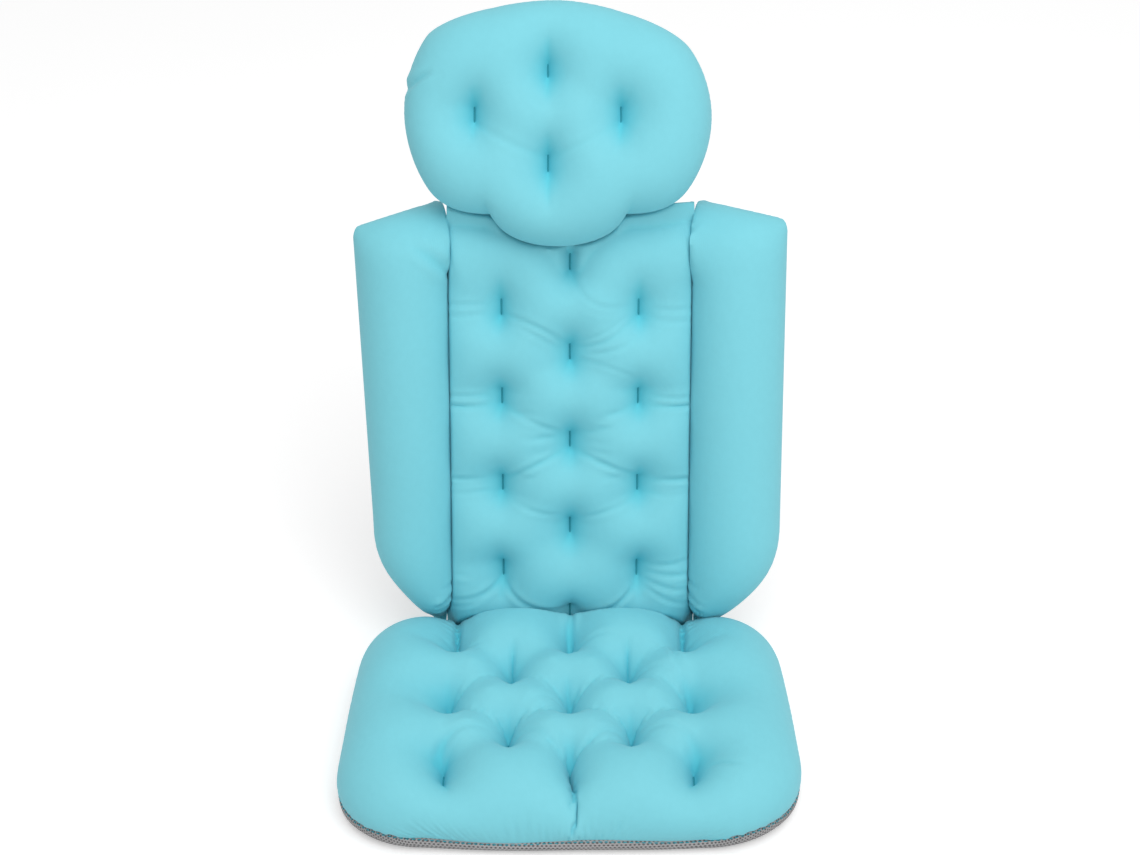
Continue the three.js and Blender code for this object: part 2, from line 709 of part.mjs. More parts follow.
function bolsterSeam(name, side) {
  const seam = rolledSeam(name, BACK_HEIGHT - WING_FOOT - shoulderDrop(side));
  seam.position.set(side * wingX, FOLD_CLEAR + (BACK_HEIGHT + WING_FOOT) / 2, FOLD_CLEAR);
  return seam;
}

const headCushion = cushion("head", headPanel());
headCushion.position.set(0, HEAD_RISE, HEAD_STANDOFF);
const head = foldedOn(
  new THREE.Vector3(HEAD_SHIFT, neckY, SEAM_HEIGHT),
  new THREE.Euler(-degToRad(HEAD_TILT), 0, 0),
  0,
  headCushion,
  neckStrip(),
);

const neckSeam = rolledSeam("neck_seam", NECK_STRIP);
neckSeam.rotation.z = Math.PI / 2;
neckSeam.position.set(HEAD_SHIFT, neckY, SEAM_HEIGHT);

const waistSeam = rolledSeam("waist_seam", BACK_WIDTH);
waistSeam.rotation.z = Math.PI / 2;
waistSeam.position.set(0, FOLD_Y, FOLD_CLEAR);

const back = foldedOn(
  new THREE.Vector3(0, FOLD_Y, FOLD_CLEAR),
  new THREE.Euler(degToRad(90 - RECLINE), 0, 0),
  FOLD_CLEAR,
  cushion("back", backPanel()),
  bolsterSeam("left_wing_seam", -1),
  bolsterSeam("right_wing_seam", 1),
  bolster("left_wing", -1),
  bolster("right_wing", 1),
  neckSeam,
  head,
);

const pillow = new THREE.Group();
pillow.add(cushion("seat", seatPanel()), waistSeam, back);

export default pillow;
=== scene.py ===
"""The bath pillow as it looks: stuffed, quilted covers sewn to mesh trays, in a white studio."""

import json
import math
from collections import namedtuple

import bpy
import numpy as np
from mathutils import Matrix, Vector


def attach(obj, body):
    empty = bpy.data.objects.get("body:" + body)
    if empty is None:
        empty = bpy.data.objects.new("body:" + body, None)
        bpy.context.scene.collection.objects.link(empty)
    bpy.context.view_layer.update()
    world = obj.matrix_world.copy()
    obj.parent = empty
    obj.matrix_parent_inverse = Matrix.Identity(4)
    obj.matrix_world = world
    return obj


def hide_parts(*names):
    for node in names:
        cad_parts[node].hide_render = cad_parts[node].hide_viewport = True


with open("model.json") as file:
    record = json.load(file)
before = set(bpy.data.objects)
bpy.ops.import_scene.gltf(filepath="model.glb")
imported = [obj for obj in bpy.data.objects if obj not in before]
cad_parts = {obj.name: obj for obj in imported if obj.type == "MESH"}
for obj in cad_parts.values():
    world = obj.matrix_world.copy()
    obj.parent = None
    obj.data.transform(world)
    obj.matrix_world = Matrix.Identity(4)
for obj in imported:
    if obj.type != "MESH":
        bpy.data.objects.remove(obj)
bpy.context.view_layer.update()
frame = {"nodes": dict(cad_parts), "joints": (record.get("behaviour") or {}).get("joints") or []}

bl_info = {
    "name": "Bath Pillow",
    "version": (1, 0, 0),
    "blender": (4, 5, 0),
    "location": "View3D > Sidebar > Bath Pillow",
    "description": "Sews and stuffs the cushions of an infant bath pillow round its packed solids",
    "category": "Object",
}


def length(name, default, description):
    """A property in metres."""
    return bpy.props.FloatProperty(
        name=name, description=description, default=default, unit="LENGTH", precision=4
    )


def angle(name, degrees, description):
    """A property in radians, given in degrees."""
    return bpy.props.FloatProperty(
        name=name, description=description, default=math.radians(degrees), unit="ROTATION"
    )


def amount(name, default, description):
    """A plain number."""
    return bpy.props.FloatProperty(
        name=name, description=description, default=default, unit="NONE"
    )


def colour(name, default, description):
    """A linear colour."""
    return bpy.props.FloatVectorProperty(
        name=name, description=description, default=default, subtype="COLOR", size=3, min=0, max=1
    )


class SewnSizes(bpy.types.PropertyGroup):
    """How the covers are sewn to the trays and drawn in at the tufts."""

    seam_height: length("Seam height", 0.014, "Height of the rim seam over the underside")
    fold_seam: length("Seam height at a fold", 0.0044, "Height of the rim seam along a fold")
    seam_fade: length("Seam fade", 0.045, "Distance over which the rim sinks towards a fold")
    fold_clear: length("Fold clearance", 0.0021, "Distance of each cushion from its fold")
    tuft_reach: length("Tuft reach", 0.034, "How far a tuft draws the cover down around it")
    bar: length("Bar tack", 0.015, "Length of the stitched bar at a tuft")
    bar_radius: length("Bar radius", 0.0007, "Half the width of a stitched bar")
    stitch: length("Stitch", 0.0030, "Length of one stitch of the rim seam")
    stitch_pitch: length("Stitch pitch", 0.0046, "Distance between stitches of the rim seam")
    thread_radius: length("Thread radius", 0.00045, "Half the width of the seam thread")
    tray_turn: length("Tray turn", 0.009, "How far the mesh turns in under the cushion")
    tray_crown: length("Tray crown", 0.0025, "How far the mesh swells on a free underside")


class SeatSizes(bpy.types.PropertyGroup):
    """The seat cushion."""

    front_width: length("Front width", 0.358, "Width where the sides would meet the front")
    rear_width: length("Rear width", 0.326, "Width where the sides would meet the fold")
    depth: length("Depth", 0.271, "From the fold to the front edge")
    left_corner: length("Left corner", 0.066, "Radius of the front corner on the left")
    right_corner: length("Right corner", 0.076, "Radius of the front corner on the right")
    rear_corner: length("Rear corners", 0.086, "Radius of the two rear corners")
    bow: length("Bow", 0.003, "How far the front edge falls back at its ends")
    crown: length("Crown", 0.056, "Height of the stuffed cover")
    edge: length("Edge", 0.046, "Width of the rounded free edges")
    fold_slope: length("Fold slope", 0.072, "Width of the slope down to the fold")
    rear_fall: length("Rear fall", 0.011, "How much lower the cover is at the rear corners")
    ripple: length("Ripple", 0.0016, "How far the front seam rises and falls")
    wrap: length("Wrap", 0.0, "How far the cover wraps round under its edge")
    gathers: length("Gathers", 0.0006, "Height of the fine gathers along the seam")
    slack: amount("Slack", 0.045, "Share by which its cloth is larger than its first shape")


class BackSizes(bpy.types.PropertyGroup):
    """The back cushion."""

    width: length("Width", 0.204, "Between the two grooves")
    height: length("Height", 0.364, "From the fold to the top edge")
    crown: length("Crown", 0.050, "Thickness of the stuffed cover")
    side_slope: length("Side slope", 0.019, "Width of the slope into a groove")
    fold_slope: length("Fold slope", 0.066, "Width of the slope down to the fold")
    top_slope: length("Top slope", 0.056, "Width of the slope at the top edge")
    yoke: length("Yoke", 0.062, "Height of the top band where the grooves grow shallow")
    yoke_spread: length("Yoke spread", 0.026, "Extra width of the cloth along the grooves there")
    corner_rise: length("Corner rise", 0.001, "How much higher its top is at the corners")
    tuft_lift: length("Tuft lift", 0.006, "How far the stuffing lifts the bars of its tufts")
    wrap: length("Wrap", 0.005, "How far the cover wraps round under its edge")
    gathers: length("Gathers", 0.0002, "Height of the fine gathers along the seam")
    slack: amount("Slack", 0.04, "Share by which its cloth is larger than its first shape")


class BolsterSizes(bpy.types.PropertyGroup):
    """The two side bolsters."""

    width: length("Width", 0.072, "From the groove to the outer edge")
    turn: angle("Turn", 25, "How far a bolster turns forward from the back")
    crown: length("Crown", 0.050, "Thickness of the stuffed cover")
    seam_height: length("Seam height", 0.006, "Height of the rim seam, low at the outer edge")
    foot: length("Foot", 0.007, "Height of the lower end above the fold")
    foot_rise: length("Foot rise", 0.044, "How much higher the lower end is at the outer edge")
    corner: length("Lower corner", 0.060, "Size of the lower outer corner")
    shoulder: length("Shoulder corner", 0.012, "Size of the upper outer corner")
    left_drop: length("Left drop", 0.013, "How much lower the left top is at the outer edge")
    right_drop: length("Right drop", 0.007, "How much lower the right top is at the outer edge")
    left_taper: length("Left taper", 0.014, "How much narrower the left one is at its foot")
    side_slope: length("Side slope", 0.020, "Width of the slope into the groove")
    outer_edge: length("Outer edge", 0.036, "Width of the rounded outer edge")
    end_edge: length("End edge", 0.026, "Width of the rounded ends")
    wrap: length("Wrap", 0.006, "How far the cover wraps round under its edge")
    gathers: length("Gathers", 0.0001, "Height of the fine gathers along the seam")
    slack: amount("Slack", 0.02, "Share by which its cloth is larger than its first shape")


class HeadSizes(bpy.types.PropertyGroup):
    """The head cushion with its two lobes and its tongue."""

    width: length("Width", 0.236, "Across the middle")
    upper_width: length("Upper width", 0.200, "Across the upper corners")
    lower_width: length("Lower width", 0.194, "Across the lower corners")
    top: length("Top", 0.087, "Height of the top edge over the middle")
    top_fall: length("Top fall", 0.010, "How far the top edge falls off towards the right")
    upper_corner: length("Upper corner", 0.060, "Height of the upper corners")
    lower_corner: length("Lower corner", 0.058, "Depth of the lower corners")
    lobe: length("Lobe", 0.076, "Depth of the lobes")
    tongue_width: length("Tongue width", 0.096, "Across the tongue")
    tongue_drop: length("Tongue drop", 0.024, "How far the tongue hangs below the lobes")
    crown: length("Crown", 0.048, "Thickness of the stuffed cover")
    edge: length("Edge", 0.038, "Width of the rounded edges")
    tilt: angle("Tilt", 10, "How far the head cushion leans back from the back cushion")
    rise: length("Rise", 0.067, "Height of its middle over the neck fold")
    standoff: length("Standoff", 0.018, "Distance of its underside from the neck fold")
    strip_width: length("Neck strip width", 0.096, "Width of the cloth strip at the neck")
    wrap: length("Wrap", 0.005, "How far the cover wraps round under its edge")
    gathers: length("Gathers", 0.0001, "Height of the fine gathers along the seam")
    slack: amount("Slack", 0.012, "Share by which its cloth is larger than its first shape")


class StuffingSettings(bpy.types.PropertyGroup):
    """The cloth simulation that swells the covers."""

    spacing: length("Spacing", 0.0040, "Size of a square of the cover during the simulation")
    pressure: amount("Pressure", 3000.0, "Pressure of the filling")
    stiffness: amount("Stiffness", 5.0, "Resistance of the cloth to being drawn out")
    bending: amount("Bending", 1.0, "Resistance of the cloth to being bent")
    steps: bpy.props.IntProperty(
        name="Steps", description="Frames of the simulation", default=24, min=1, max=60
    )
    furthest: length("Furthest", 0.024, "The most that a point of the cover may move")


class FinishSettings(bpy.types.PropertyGroup):
    """Colours and cloth structure."""

    cover: colour("Cover", (0.21, 0.635, 0.725), "Turquoise of the covers")
    # Painted shade: this deeper turquoise is mixed into the covers where they lie sunk, in tufts
    # and creases.
    hollow_shade: colour("Hollow", (0.09, 0.58, 0.685), "Deeper turquoise in the hollow_shades of the covers")
    mesh: colour("Mesh", (0.46, 0.445, 0.45), "Grey of the underside mesh")
    thread: colour("Thread", (0.025, 0.36, 0.45), "Darker turquoise of the thread")
    knit_pitch: length("Knit pitch", 0.0008, "Distance between the ribs of the cover cloth")
    hole_pitch: length("Hole pitch", 0.0030, "Distance between the holes of the mesh")


class StudioSettings(bpy.types.PropertyGroup):
    """Camera, floor and lights."""

    distance: length("Distance", 1.9, "From the camera to the point it looks at")
    elevation: angle("Elevation", 32, "How far the camera looks down")
    target_y: length("Target depth", 0.0776, "The point looked at, from front to back")
    target_z: length("Target height", 0.230, "The point looked at, above the floor")
    lens: amount("Lens", 77.8, "Focal length in millimetres")
    floor: length("Floor", 14.0, "Side of the floor")
    floor_glow: amount("Floor glow", 0.35, "How much the floor glows to the camera")
    air: amount("Air", 0.60, "Brightness of the light from all round")
    key: amount("Key light", 27.0, "Power of the light from above, in watts")
    front: amount("Front light", 12.0, "Power of the light from the front, in watts")


class BathPillow(bpy.types.PropertyGroup):
    """All settings of the bath pillow."""

    sewn: bpy.props.PointerProperty(type=SewnSizes, name="Sewing")
    seat: bpy.props.PointerProperty(type=SeatSizes, name="Seat")
    back: bpy.props.PointerProperty(type=BackSizes, name="Back")
    bolster: bpy.props.PointerProperty(type=BolsterSizes, name="Bolsters")
    head: bpy.props.PointerProperty(type=HeadSizes, name="Head")
    stuffing: bpy.props.PointerProperty(type=StuffingSettings, name="Stuffing")
    finish: bpy.props.PointerProperty(type=FinishSettings, name="Finish")
    studio: bpy.props.PointerProperty(type=StudioSettings, name="Studio")


# The edge of a cushion, the plane that parts two cushions, a sewn-down valley and a fine fold.
Edge = namedtuple("Edge", "reach rounded folds")
Limit = namedtuple("Limit", "origin normal")
Valley = namedtuple("Valley", "start end floor end_share reach")
Crease = namedtuple("Crease", "path depth width")


# Fine folds in the cloth of each cushion: start, middle and end in its own frame, then depth and
# width, all in millimetres.
CREASES = {
    "seat": (
        ((-90, 50), (-91, 80), (-92, 108), 1.4, 2.6),
        ((0, 50), (0, 80), (0, 108), 1.4, 2.6),
        ((90, 50), (91, 80), (92, 108), 1.4, 2.6),
        ((86, 42), (74, 22), (96, -24), 1.1, 2.2),
        ((103, -103), (116, -112), (128, -118), 1.3, 2.2),
        ((-104, -100), (-98, -72), (-60, -68), 1.3, 2.6),
        ((-92, 42), (-84, 36), (-66, 38), 0.7, 2.0),
        ((-2, 40), (18, 50), (44, 40), 0.7, 2.2),
        ((48, 6), (72, 12), (90, -14), 0.8, 2.2),
        ((-4, -30), (-26, -24), (-44, -58), 0.7, 2.2),
        ((8, -96), (26, -66), (44, -68), 1.2, 2.6),
        ((-8, -96), (-26, -66), (-44, -68), 1.2, 2.6),
        ((52, -68), (84, -64), (98, -92), 1.2, 2.6),
    ),
    "back": (
        ((-100, 292), (-84, 294), (-64, 293), 0.7, 1.8),
        ((-100, 284), (-84, 283), (-66, 286), 0.6, 1.8),
        ((64, 290), (82, 288), (100, 290), 0.7, 1.8),
        ((62, 282), (82, 278), (100, 280), 0.6, 1.8),
        ((-50, 284), (-22, 280), (-6, 262), 1.2, 2.0),
        ((-46, 279), (-26, 272), (-10, 258), 0.7, 1.8),
        ((6, 258), (30, 262), (50, 282), 1.1, 1.9),
        ((8, 255), (36, 254), (56, 270), 0.8, 1.8),
        ((8, 264), (24, 268), (44, 284), 0.6, 1.7),
        ((2, 316), (12, 288), (48, 292), 0.9, 2.2),
        ((4, 302), (18, 282), (46, 289), 0.6, 1.8),
        ((6, 248), (34, 248), (54, 232), 0.6, 1.8),
        ((-100, 218), (-82, 219), (-62, 218), 0.7, 1.8),
        ((64, 218), (84, 215), (100, 217), 0.7, 1.8),
        ((-50, 208), (-24, 198), (-6, 188), 1.0, 2.0),
        ((-6, 172), (-30, 164), (-50, 150), 1.4, 2.0),
        ((6, 172), (32, 164), (52, 152), 1.4, 2.0),
        ((-100, 144), (-82, 146), (-60, 145), 0.7, 1.8),
        ((-100, 137), (-80, 137), (-62, 140), 0.5, 1.8),
        ((62, 146), (82, 147), (100, 148), 0.7, 1.8),
        ((60, 138), (82, 134), (100, 138), 0.5, 1.8),
        ((-46, 132), (-24, 122), (-6, 120), 0.7, 1.9),
        ((50, 132), (28, 124), (8, 118), 0.7, 1.9),
        ((-56, 62), (-70, 46), (-100, 44), 1.3, 2.0),
        ((-60, 56), (-76, 40), (-100, 38), 0.9, 1.9),
        ((-52, 60), (-44, 38), (-4, 36), 1.5, 2.1),
        ((52, 58), (40, 36), (6, 32), 1.5, 2.1),
        ((60, 70), (80, 66), (100, 68), 0.8, 1.9),
        ((60, 63), (80, 54), (100, 54), 1.0, 1.9),
        ((62, 76), (82, 76), (100, 82), 0.7, 1.9),
        ((60, 58), (76, 44), (98, 40), 0.8, 1.9),
    ),
    "left_wing": (
        ((-2, 312), (-22, 324), (-44, 346), 2.4, 3.6),
        ((-4, 52), (-14, 42), (-26, 40), 0.9, 2.0),
        ((-4, 42), (-14, 34), (-28, 35), 0.8, 2.0),
        ((-4, 62), (-12, 56), (-22, 56), 0.6, 2.0),
    ),
    "right_wing": (
        ((2, 312), (6, 334), (14, 360), 1.7, 2.8),
        ((4, 56), (14, 44), (28, 42), 0.9, 2.0),
        ((4, 46), (14, 36), (26, 36), 0.8, 2.0),
        ((4, 66), (12, 58), (22, 58), 0.6, 2.0),
    ),
    "head": (
        ((-120, 16), (-110, 27), (-96, 33), 2.0, 2.6),
        ((-60, -8), (-34, -24), (-14, -30), 0.6, 2.4),
        ((44, -6), (20, -22), (-2, -30), 0.6, 2.4),
    ),
}


def millimetre_creases(table):
    """Creases in metres from a table in millimetres."""
    return [
        Crease(curve(start, middle, end) / 1000, depth / 1000, width / 1000)
        for start, middle, end, depth, width in table
    ]


def curve(start, middle, end, count=24):
    """Points of a bent line that starts and ends where told and leans towards the middle one."""
    share = np.linspace(0, 1, count)[:, None]
    start, middle, end = (np.asarray(place, float) for place in (start, middle, end))
    return (1 - share) ** 2 * start + 2 * share * (1 - share) * middle + share**2 * end


def beside_line(x, y, start, end):
    """How far along a line each point lies, from 0 to 1, and its distance from the line."""
    run_x = end[0] - start[0]
    run_y = end[1] - start[1]
    share = ((x - start[0]) * run_x + (y - start[1]) * run_y) / (run_x**2 + run_y**2)
    share = np.clip(share, 0, 1)
    return share, np.hypot(x - start[0] - share * run_x, y - start[1] - share * run_y)


def from_bar(x, y, tuft, bar):
    """Distance of each place from the sewn bar of a tuft."""
    return np.hypot(x - tuft[0], np.maximum(0, np.abs(y - tuft[1]) - bar / 2))


def run_along(points):
    """Distance of each point of a path from its start, along the path."""
    steps = np.linalg.norm(np.diff(points, axis=0), axis=1)
    return np.concatenate([[0], np.cumsum(steps)])


def waves(run, parts):
    """A sum of sine waves, each given by its height, its radians per unit of run and its start."""
    return sum(height * np.sin(run * rate + start) for height, rate, start in parts)


def ease(share):
    """Smooth step from 0 to 1."""
    share = np.clip(share, 0, 1)
    return share * share * (3 - 2 * share)


def corner_cut(from_end, radius):
    """How far a quarter-round corner draws a side in, this far from its end."""
    short = np.maximum(0, radius - from_end)
    return radius - np.sqrt(np.maximum(0, radius**2 - short**2))


def sloped_cut(from_end, size):
    """The same for a shallow corner that starts at 45 degrees."""
    radius = size * math.sqrt(2)
    short = np.maximum(0, size - from_end)
    return radius - np.sqrt(np.maximum(0, radius**2 - short**2))


def round_swell(share):
    """Rise of a free edge, upright at its seam."""
    return np.sqrt(np.maximum(0, 1 - (1 - np.clip(share, 0, 1)) ** 2))


def sloped_swell(share):
    """Rise of an edge that slopes up from a fold."""
    return np.sin(np.clip(share, 0, 1) * math.pi / 2)


def rounded_ends(run, power, least):
    """Shares of the radius of a body that runs from -1 to 1 and is rounded off at both ends."""
    return np.sqrt(np.maximum(least, 1 - np.abs(run) ** power))


def joint(name):
    """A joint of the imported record."""
    return next(one for one in frame["joints"] if one["name"] == name)


def local_points(node, to_frame):
    """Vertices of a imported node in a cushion's own frame."""
    inverse = to_frame.inverted()
    return np.array([inverse @ vertex.co for vertex in frame["nodes"][node].data.vertices])


# Form of the covers, in metres or as shares.
RIPPLE_WAVES = ((1.0, 47, 0.9), (0.4, 23, -0.5))  # shares, radians per metre and starts
REAR_CORNER_FROM = 0.45  # share of the half width where the fall of the rear corners starts
REAR_CORNER_SPAN = 0.45
REAR_CORNER_REACH = 0.11  # how far from the fold it is felt
PULL_POWER = 1.5  # how sharply the cover dips to a tuft or a valley
MESH_SPACING = 0.004  # between the points round a mesh tray
MOST_DRAWN_IN = 0.6  # share of the way to the middle of its row that a place is drawn in at most
WRAP_INSET = 0.002  # how much further in than its wrap a cover is sewn
WRAPPED_SEAM = 0.45  # height of that seam as a share of the rim's

# The yoke, where the cloth of the back runs on into the bolsters.
YOKE_RISE = 0.75  # share of the yoke's height over which its grooves grow shallow
YOKE_FULLNESS = 1.3  # how much steeper than elsewhere the covers rise from the grooves there
SPREAD_REACH = 0.036  # how far from a groove its cloth is widened
SPREAD_RISE = 0.004  # height over the rim at which it has its extra width
SPREAD_TOP_FADE = 0.014  # from the top edge down to where the cloth is widened fully
CLOSING = 0.007  # how far a cover is drawn towards its neighbour, at most
CLOSING_FADE = 0.03  # how much further from its neighbour it is no longer drawn
CLOSING_FROM = 0.005  # height over the underside where this starts
CLOSING_RISE = 0.006  # and how much higher it is in full
RUN_ON_TOP_FADE = 0.02  # from the top of the yoke down to where the cloth runs on fully
FILLET_REACH = 0.016  # width of the curve that fills the groove
FILLET_LIFT = 0.008


class Cushion:
    """A cushion laid flat: u runs from -1 to 1 across it and v from -1 to 1 along it."""

    def __init__(self, name, to_frame, place, part, seam_height, edges, sewn):
        self.name = name
        self.to_frame = to_frame
        self.place = place
        self.crown = part.crown
        self.slack = part.slack
        self.wrap = part.wrap
        self.gathers = part.gathers
        self.seam_height = seam_height
        self.edges = edges
        self.sewn = sewn
        self.creases = millimetre_creases(CREASES[name])
        self.yoke_from = None
        self.yoke_top = 0.0
        self.yoke_height = 1.0
        self.yoke_spread = 0.0
        self.heart = (0.0, 0.0)
        self.rear_fall = 0.0
        self.ripple = 0.0
        self.valleys = []
        self.limits = []
        self.rests_under = None
        self.tufts = self.find_tufts()

    def find_tufts(self):
        """Middle of each tuft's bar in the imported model, with the height of its top."""
        found = []
        for node in sorted(frame["nodes"]):
            if node.startswith(self.name + "_tuft_"):
                points = local_points(node, self.to_frame)
                middle = (points.min(0) + points.max(0)) / 2
                found.append((middle[0], middle[1], points[:, 2].max()))
        return np.array(found).reshape(-1, 3)

    def distances(self, u, v):
        """Distance of each point from the four edges, with the point itself."""
        x, y = self.place(u, v)
        one = np.ones_like(u)
        away = {
            "left": x - self.place(-one, v)[0],
            "right": self.place(one, v)[0] - x,
            "low": y - self.place(u, -one)[1],
            "high": self.place(u, one)[1] - y,
        }
        return x, y, away

    def add_yoke(self, back):
        """Lets the side grooves grow shallow in the top band of the back."""
        self.yoke_top = self.sewn.fold_clear + back.height
        self.yoke_from = self.yoke_top - back.yoke
        self.yoke_height = back.yoke * YOKE_RISE
        self.yoke_spread = back.yoke_spread

    def yoke(self, y):
        """0 below the yoke band and 1 at its upper part, where the side grooves are shallow."""
        if self.yoke_from is None:
            return np.zeros_like(y)
        return ease((y - self.yoke_from) / self.yoke_height)

    def rim(self, u, v):
        """Height of the rim seam, which sinks towards a fold."""
        x, _, away = self.distances(u, v)
        sunk = np.zeros_like(u)
        for side, edge in self.edges.items():
            if edge.folds:
                near = 1 - ease(away[side] / self.sewn.seam_fade)
                sunk = np.maximum(sunk, near)
        wave = waves(x, RIPPLE_WAVES) * self.ripple
        wave = wave * (1 - ease(away["low"] / self.sewn.seam_fade))
        return self.seam_height + wave + (self.sewn.fold_seam - self.seam_height) * sunk

    def dome(self, u, v):
        """The stuffed form without its tufts."""
        _, y, away = self.distances(u, v)
        rim = self.rim(u, v)
        swell = np.ones_like(u)
        for side, edge in self.edges.items():
            share = away[side] / edge.reach
            form = round_swell(share) if edge.rounded else sloped_swell(share)
            if edge.folds and side in ("left", "right"):
                form = form + (round_swell(share * YOKE_FULLNESS) - form) * self.yoke(y)
            swell = swell * form
        corner = ease((np.abs(u) - REAR_CORNER_FROM) / REAR_CORNER_SPAN)
        corner = corner * ease(1 - away["high"] / REAR_CORNER_REACH)
        return rim + (self.crown - rim - self.rear_fall * corner) * swell

    def spread(self, u, v):
        """Extra width of the cloth along the grooves in the yoke, where two covers meet full."""
        _, y, away = self.distances(u, v)
        extra = np.zeros_like(u)
        for side, toward in (("left", -1), ("right", 1)):
            if self.edges[side].folds:
                extra = extra + toward * (1 - ease(away[side] / SPREAD_REACH))
        risen = ease((self.dome(u, v) - self.rim(u, v)) / SPREAD_RISE)
        closed = self.sewn.fold_clear
        full = self.yoke(y) * ease(away["high"] / SPREAD_TOP_FADE)
        return extra * full * (closed + (self.yoke_spread - closed) * risen)

    def surface(self, u, v):
        """Points of the cover before it is stuffed, drawn down at the tufts."""
        x, y = self.place(u, v)
        x = x + self.spread(u, v)
        height = self.dome(u, v)
        for tuft in self.tufts:
            floor = tuft[2] - 2 * self.sewn.bar_radius
            away = from_bar(x, y, tuft, self.sewn.bar)
            pull = (1 - np.clip(away / self.sewn.tuft_reach, 0, 1)) ** PULL_POWER
            height = height - np.maximum(0, height - floor) * pull
        for valley in self.valleys:
            share, away = beside_line(x, y, valley.start, valley.end)
            pull = (1 - np.clip(away / valley.reach, 0, 1)) ** PULL_POWER
            pull = pull * (1 + (valley.end_share - 1) * share)
            height = height - np.maximum(0, height - valley.floor) * pull
        return np.stack([x, y, height], axis=-1)

    def even_lines(self, spacing, samples=1501):
        """Values of u and v that divide the swollen form into even squares."""
        fine = np.linspace(-1, 1, samples)
        zero = np.zeros_like(fine)
        lines = []
        for u, v in ((fine, zero), (zero, fine)):
            run = run_along(np.column_stack([*self.place(u, v), self.dome(u, v)]))
            count = round(run[-1] / spacing)
            lines.append(np.interp(np.linspace(0, run[-1], count + 1), run, fine))
        return lines

    def rim_spots(self, spacing):
        """Values of u and v once round the rim, anticlockwise."""
        across, along = self.even_lines(spacing)
        low = np.stack([across, -np.ones_like(across)], 1)
        right = np.stack([np.ones_like(along), along], 1)[1:]
        high = np.stack([across[::-1], np.ones_like(across)], 1)[1:]
        left = np.stack([-np.ones_like(along), along[::-1]], 1)[1:-1]
        return np.concatenate([low, right, high, left]).T

    def drawn_in(self, u, v, depth):
        """Places drawn in by a depth across their own row and along their own column."""
        one = np.ones_like(u)
        x, _ = self.place(u, v)
        left, right = self.place(-one, v)[0], self.place(one, v)[0]
        low, high = self.place(u, -one)[1], self.place(u, one)[1]
        share = np.minimum(MOST_DRAWN_IN, 2 * depth / (right - left))
        x = x + ((left + right) / 2 - x) * share
        y = self.place(u, v * (1 - 2 * depth / (high - low)))[1]
        return np.stack([x, y], axis=-1)

    def outline(self, spacing):
        """Points of the rim, once round it, with their seam heights."""
        u, v = self.rim_spots(spacing)
        return np.column_stack([*self.place(u, v), self.rim(u, v)])

    def sewn_line(self, spacing, inside=0.0):
        """The line where the cover is sewn to the mesh, or one that lies inside it."""
        u, v = self.rim_spots(spacing)
        wrapped = self.wrap + WRAP_INSET if self.wrap else 0.0
        height = self.rim(u, v) * (WRAPPED_SEAM if self.wrap else 1.0)
        return np.column_stack([self.drawn_in(u, v, wrapped + inside), height])

    def tray_face(self):
        """The outline of the face of the mesh underside."""
        return self.sewn_line(MESH_SPACING, self.sewn.tray_turn)[:, :2]

    def held_in(self, points):
        """Presses points back behind the planes that part this cushion from its neighbours."""
        for limit in self.limits:
            over = np.maximum(0, (points - limit.origin) @ limit.normal)
            points = points - over[..., None] * limit.normal
        if self.rests_under is not None:
            points = self.rests_under(points)
        return points

    def run_on(self, points):
        """Curves the cover towards its neighbours in the yoke, as one cloth runs on."""
        points = points.copy()
        for limit in self.limits:
            if limit.normal[0]:
                aside = math.copysign(limit.normal[2], -limit.normal[0])
                upward = np.array([aside, 0, abs(limit.normal[0])])
                full = self.yoke(points[..., 1])
                full = full * ease((self.yoke_top - points[..., 1]) / RUN_ON_TOP_FADE)
                away = np.maximum(0, (limit.origin - points) @ limit.normal)
                fade = np.maximum(0, 1 - (away - CLOSING) / CLOSING_FADE)
                closed = np.minimum(away, CLOSING * fade) * full
                closed = closed * ease((points[..., 2] - CLOSING_FROM) / CLOSING_RISE)
                points = points + closed[..., None] * limit.normal
                near = np.maximum(0, 1 - (away - closed) / FILLET_REACH) ** 2
                lift = FILLET_LIFT * aside / upward[2] * near * full
                points = points + abs(lift)[..., None] * upward
        return points

    def to_model(self, points):
        """Points of this cushion in the frame of the model."""
        matrix = np.array(self.to_frame)
        return points @ matrix[:3, :3].T + matrix[:3, 3]


# Forms of single cushions: valleys from the seat's tufts, corners, and curves of the head.
REAR_VALLEY_FLARE = 1.03  # how much further out a rear valley ends than it starts
REAR_VALLEY_STOP = 0.006  # from its end to the fold
REAR_VALLEY = {"end_share": 0.55, "reach": 0.022}
FRONT_VALLEY_RUN = (0.006, -0.040)
FRONT_VALLEY = {"end_share": 0.1, "reach": 0.016}
CORNER_RISE_FROM = 0.6  # share of the back's half width where its top corners start to rise
BOLSTER_HEART = (0.4, 0.2)  # inwards and upwards from the middle of a bolster
LOBE_POWER = 6  # how late the head's lower edge curves up to its corners
CREST_POWER = 0.8
TOP_FALL_POWER = 1.5


def rest_fold():
    """Degrees by which the back is folded up at rest, and can be let down."""
    return joint("back_fold")["range_deg"][1]


def back_turn():
    """The back's turn from lying flat to its rest."""
    return Matrix.Rotation(math.radians(rest_fold()), 4, "X")


def at_joint(name):
    """The shift from the origin to a joint."""
    return Matrix.Translation(joint(name)["pos_m"])


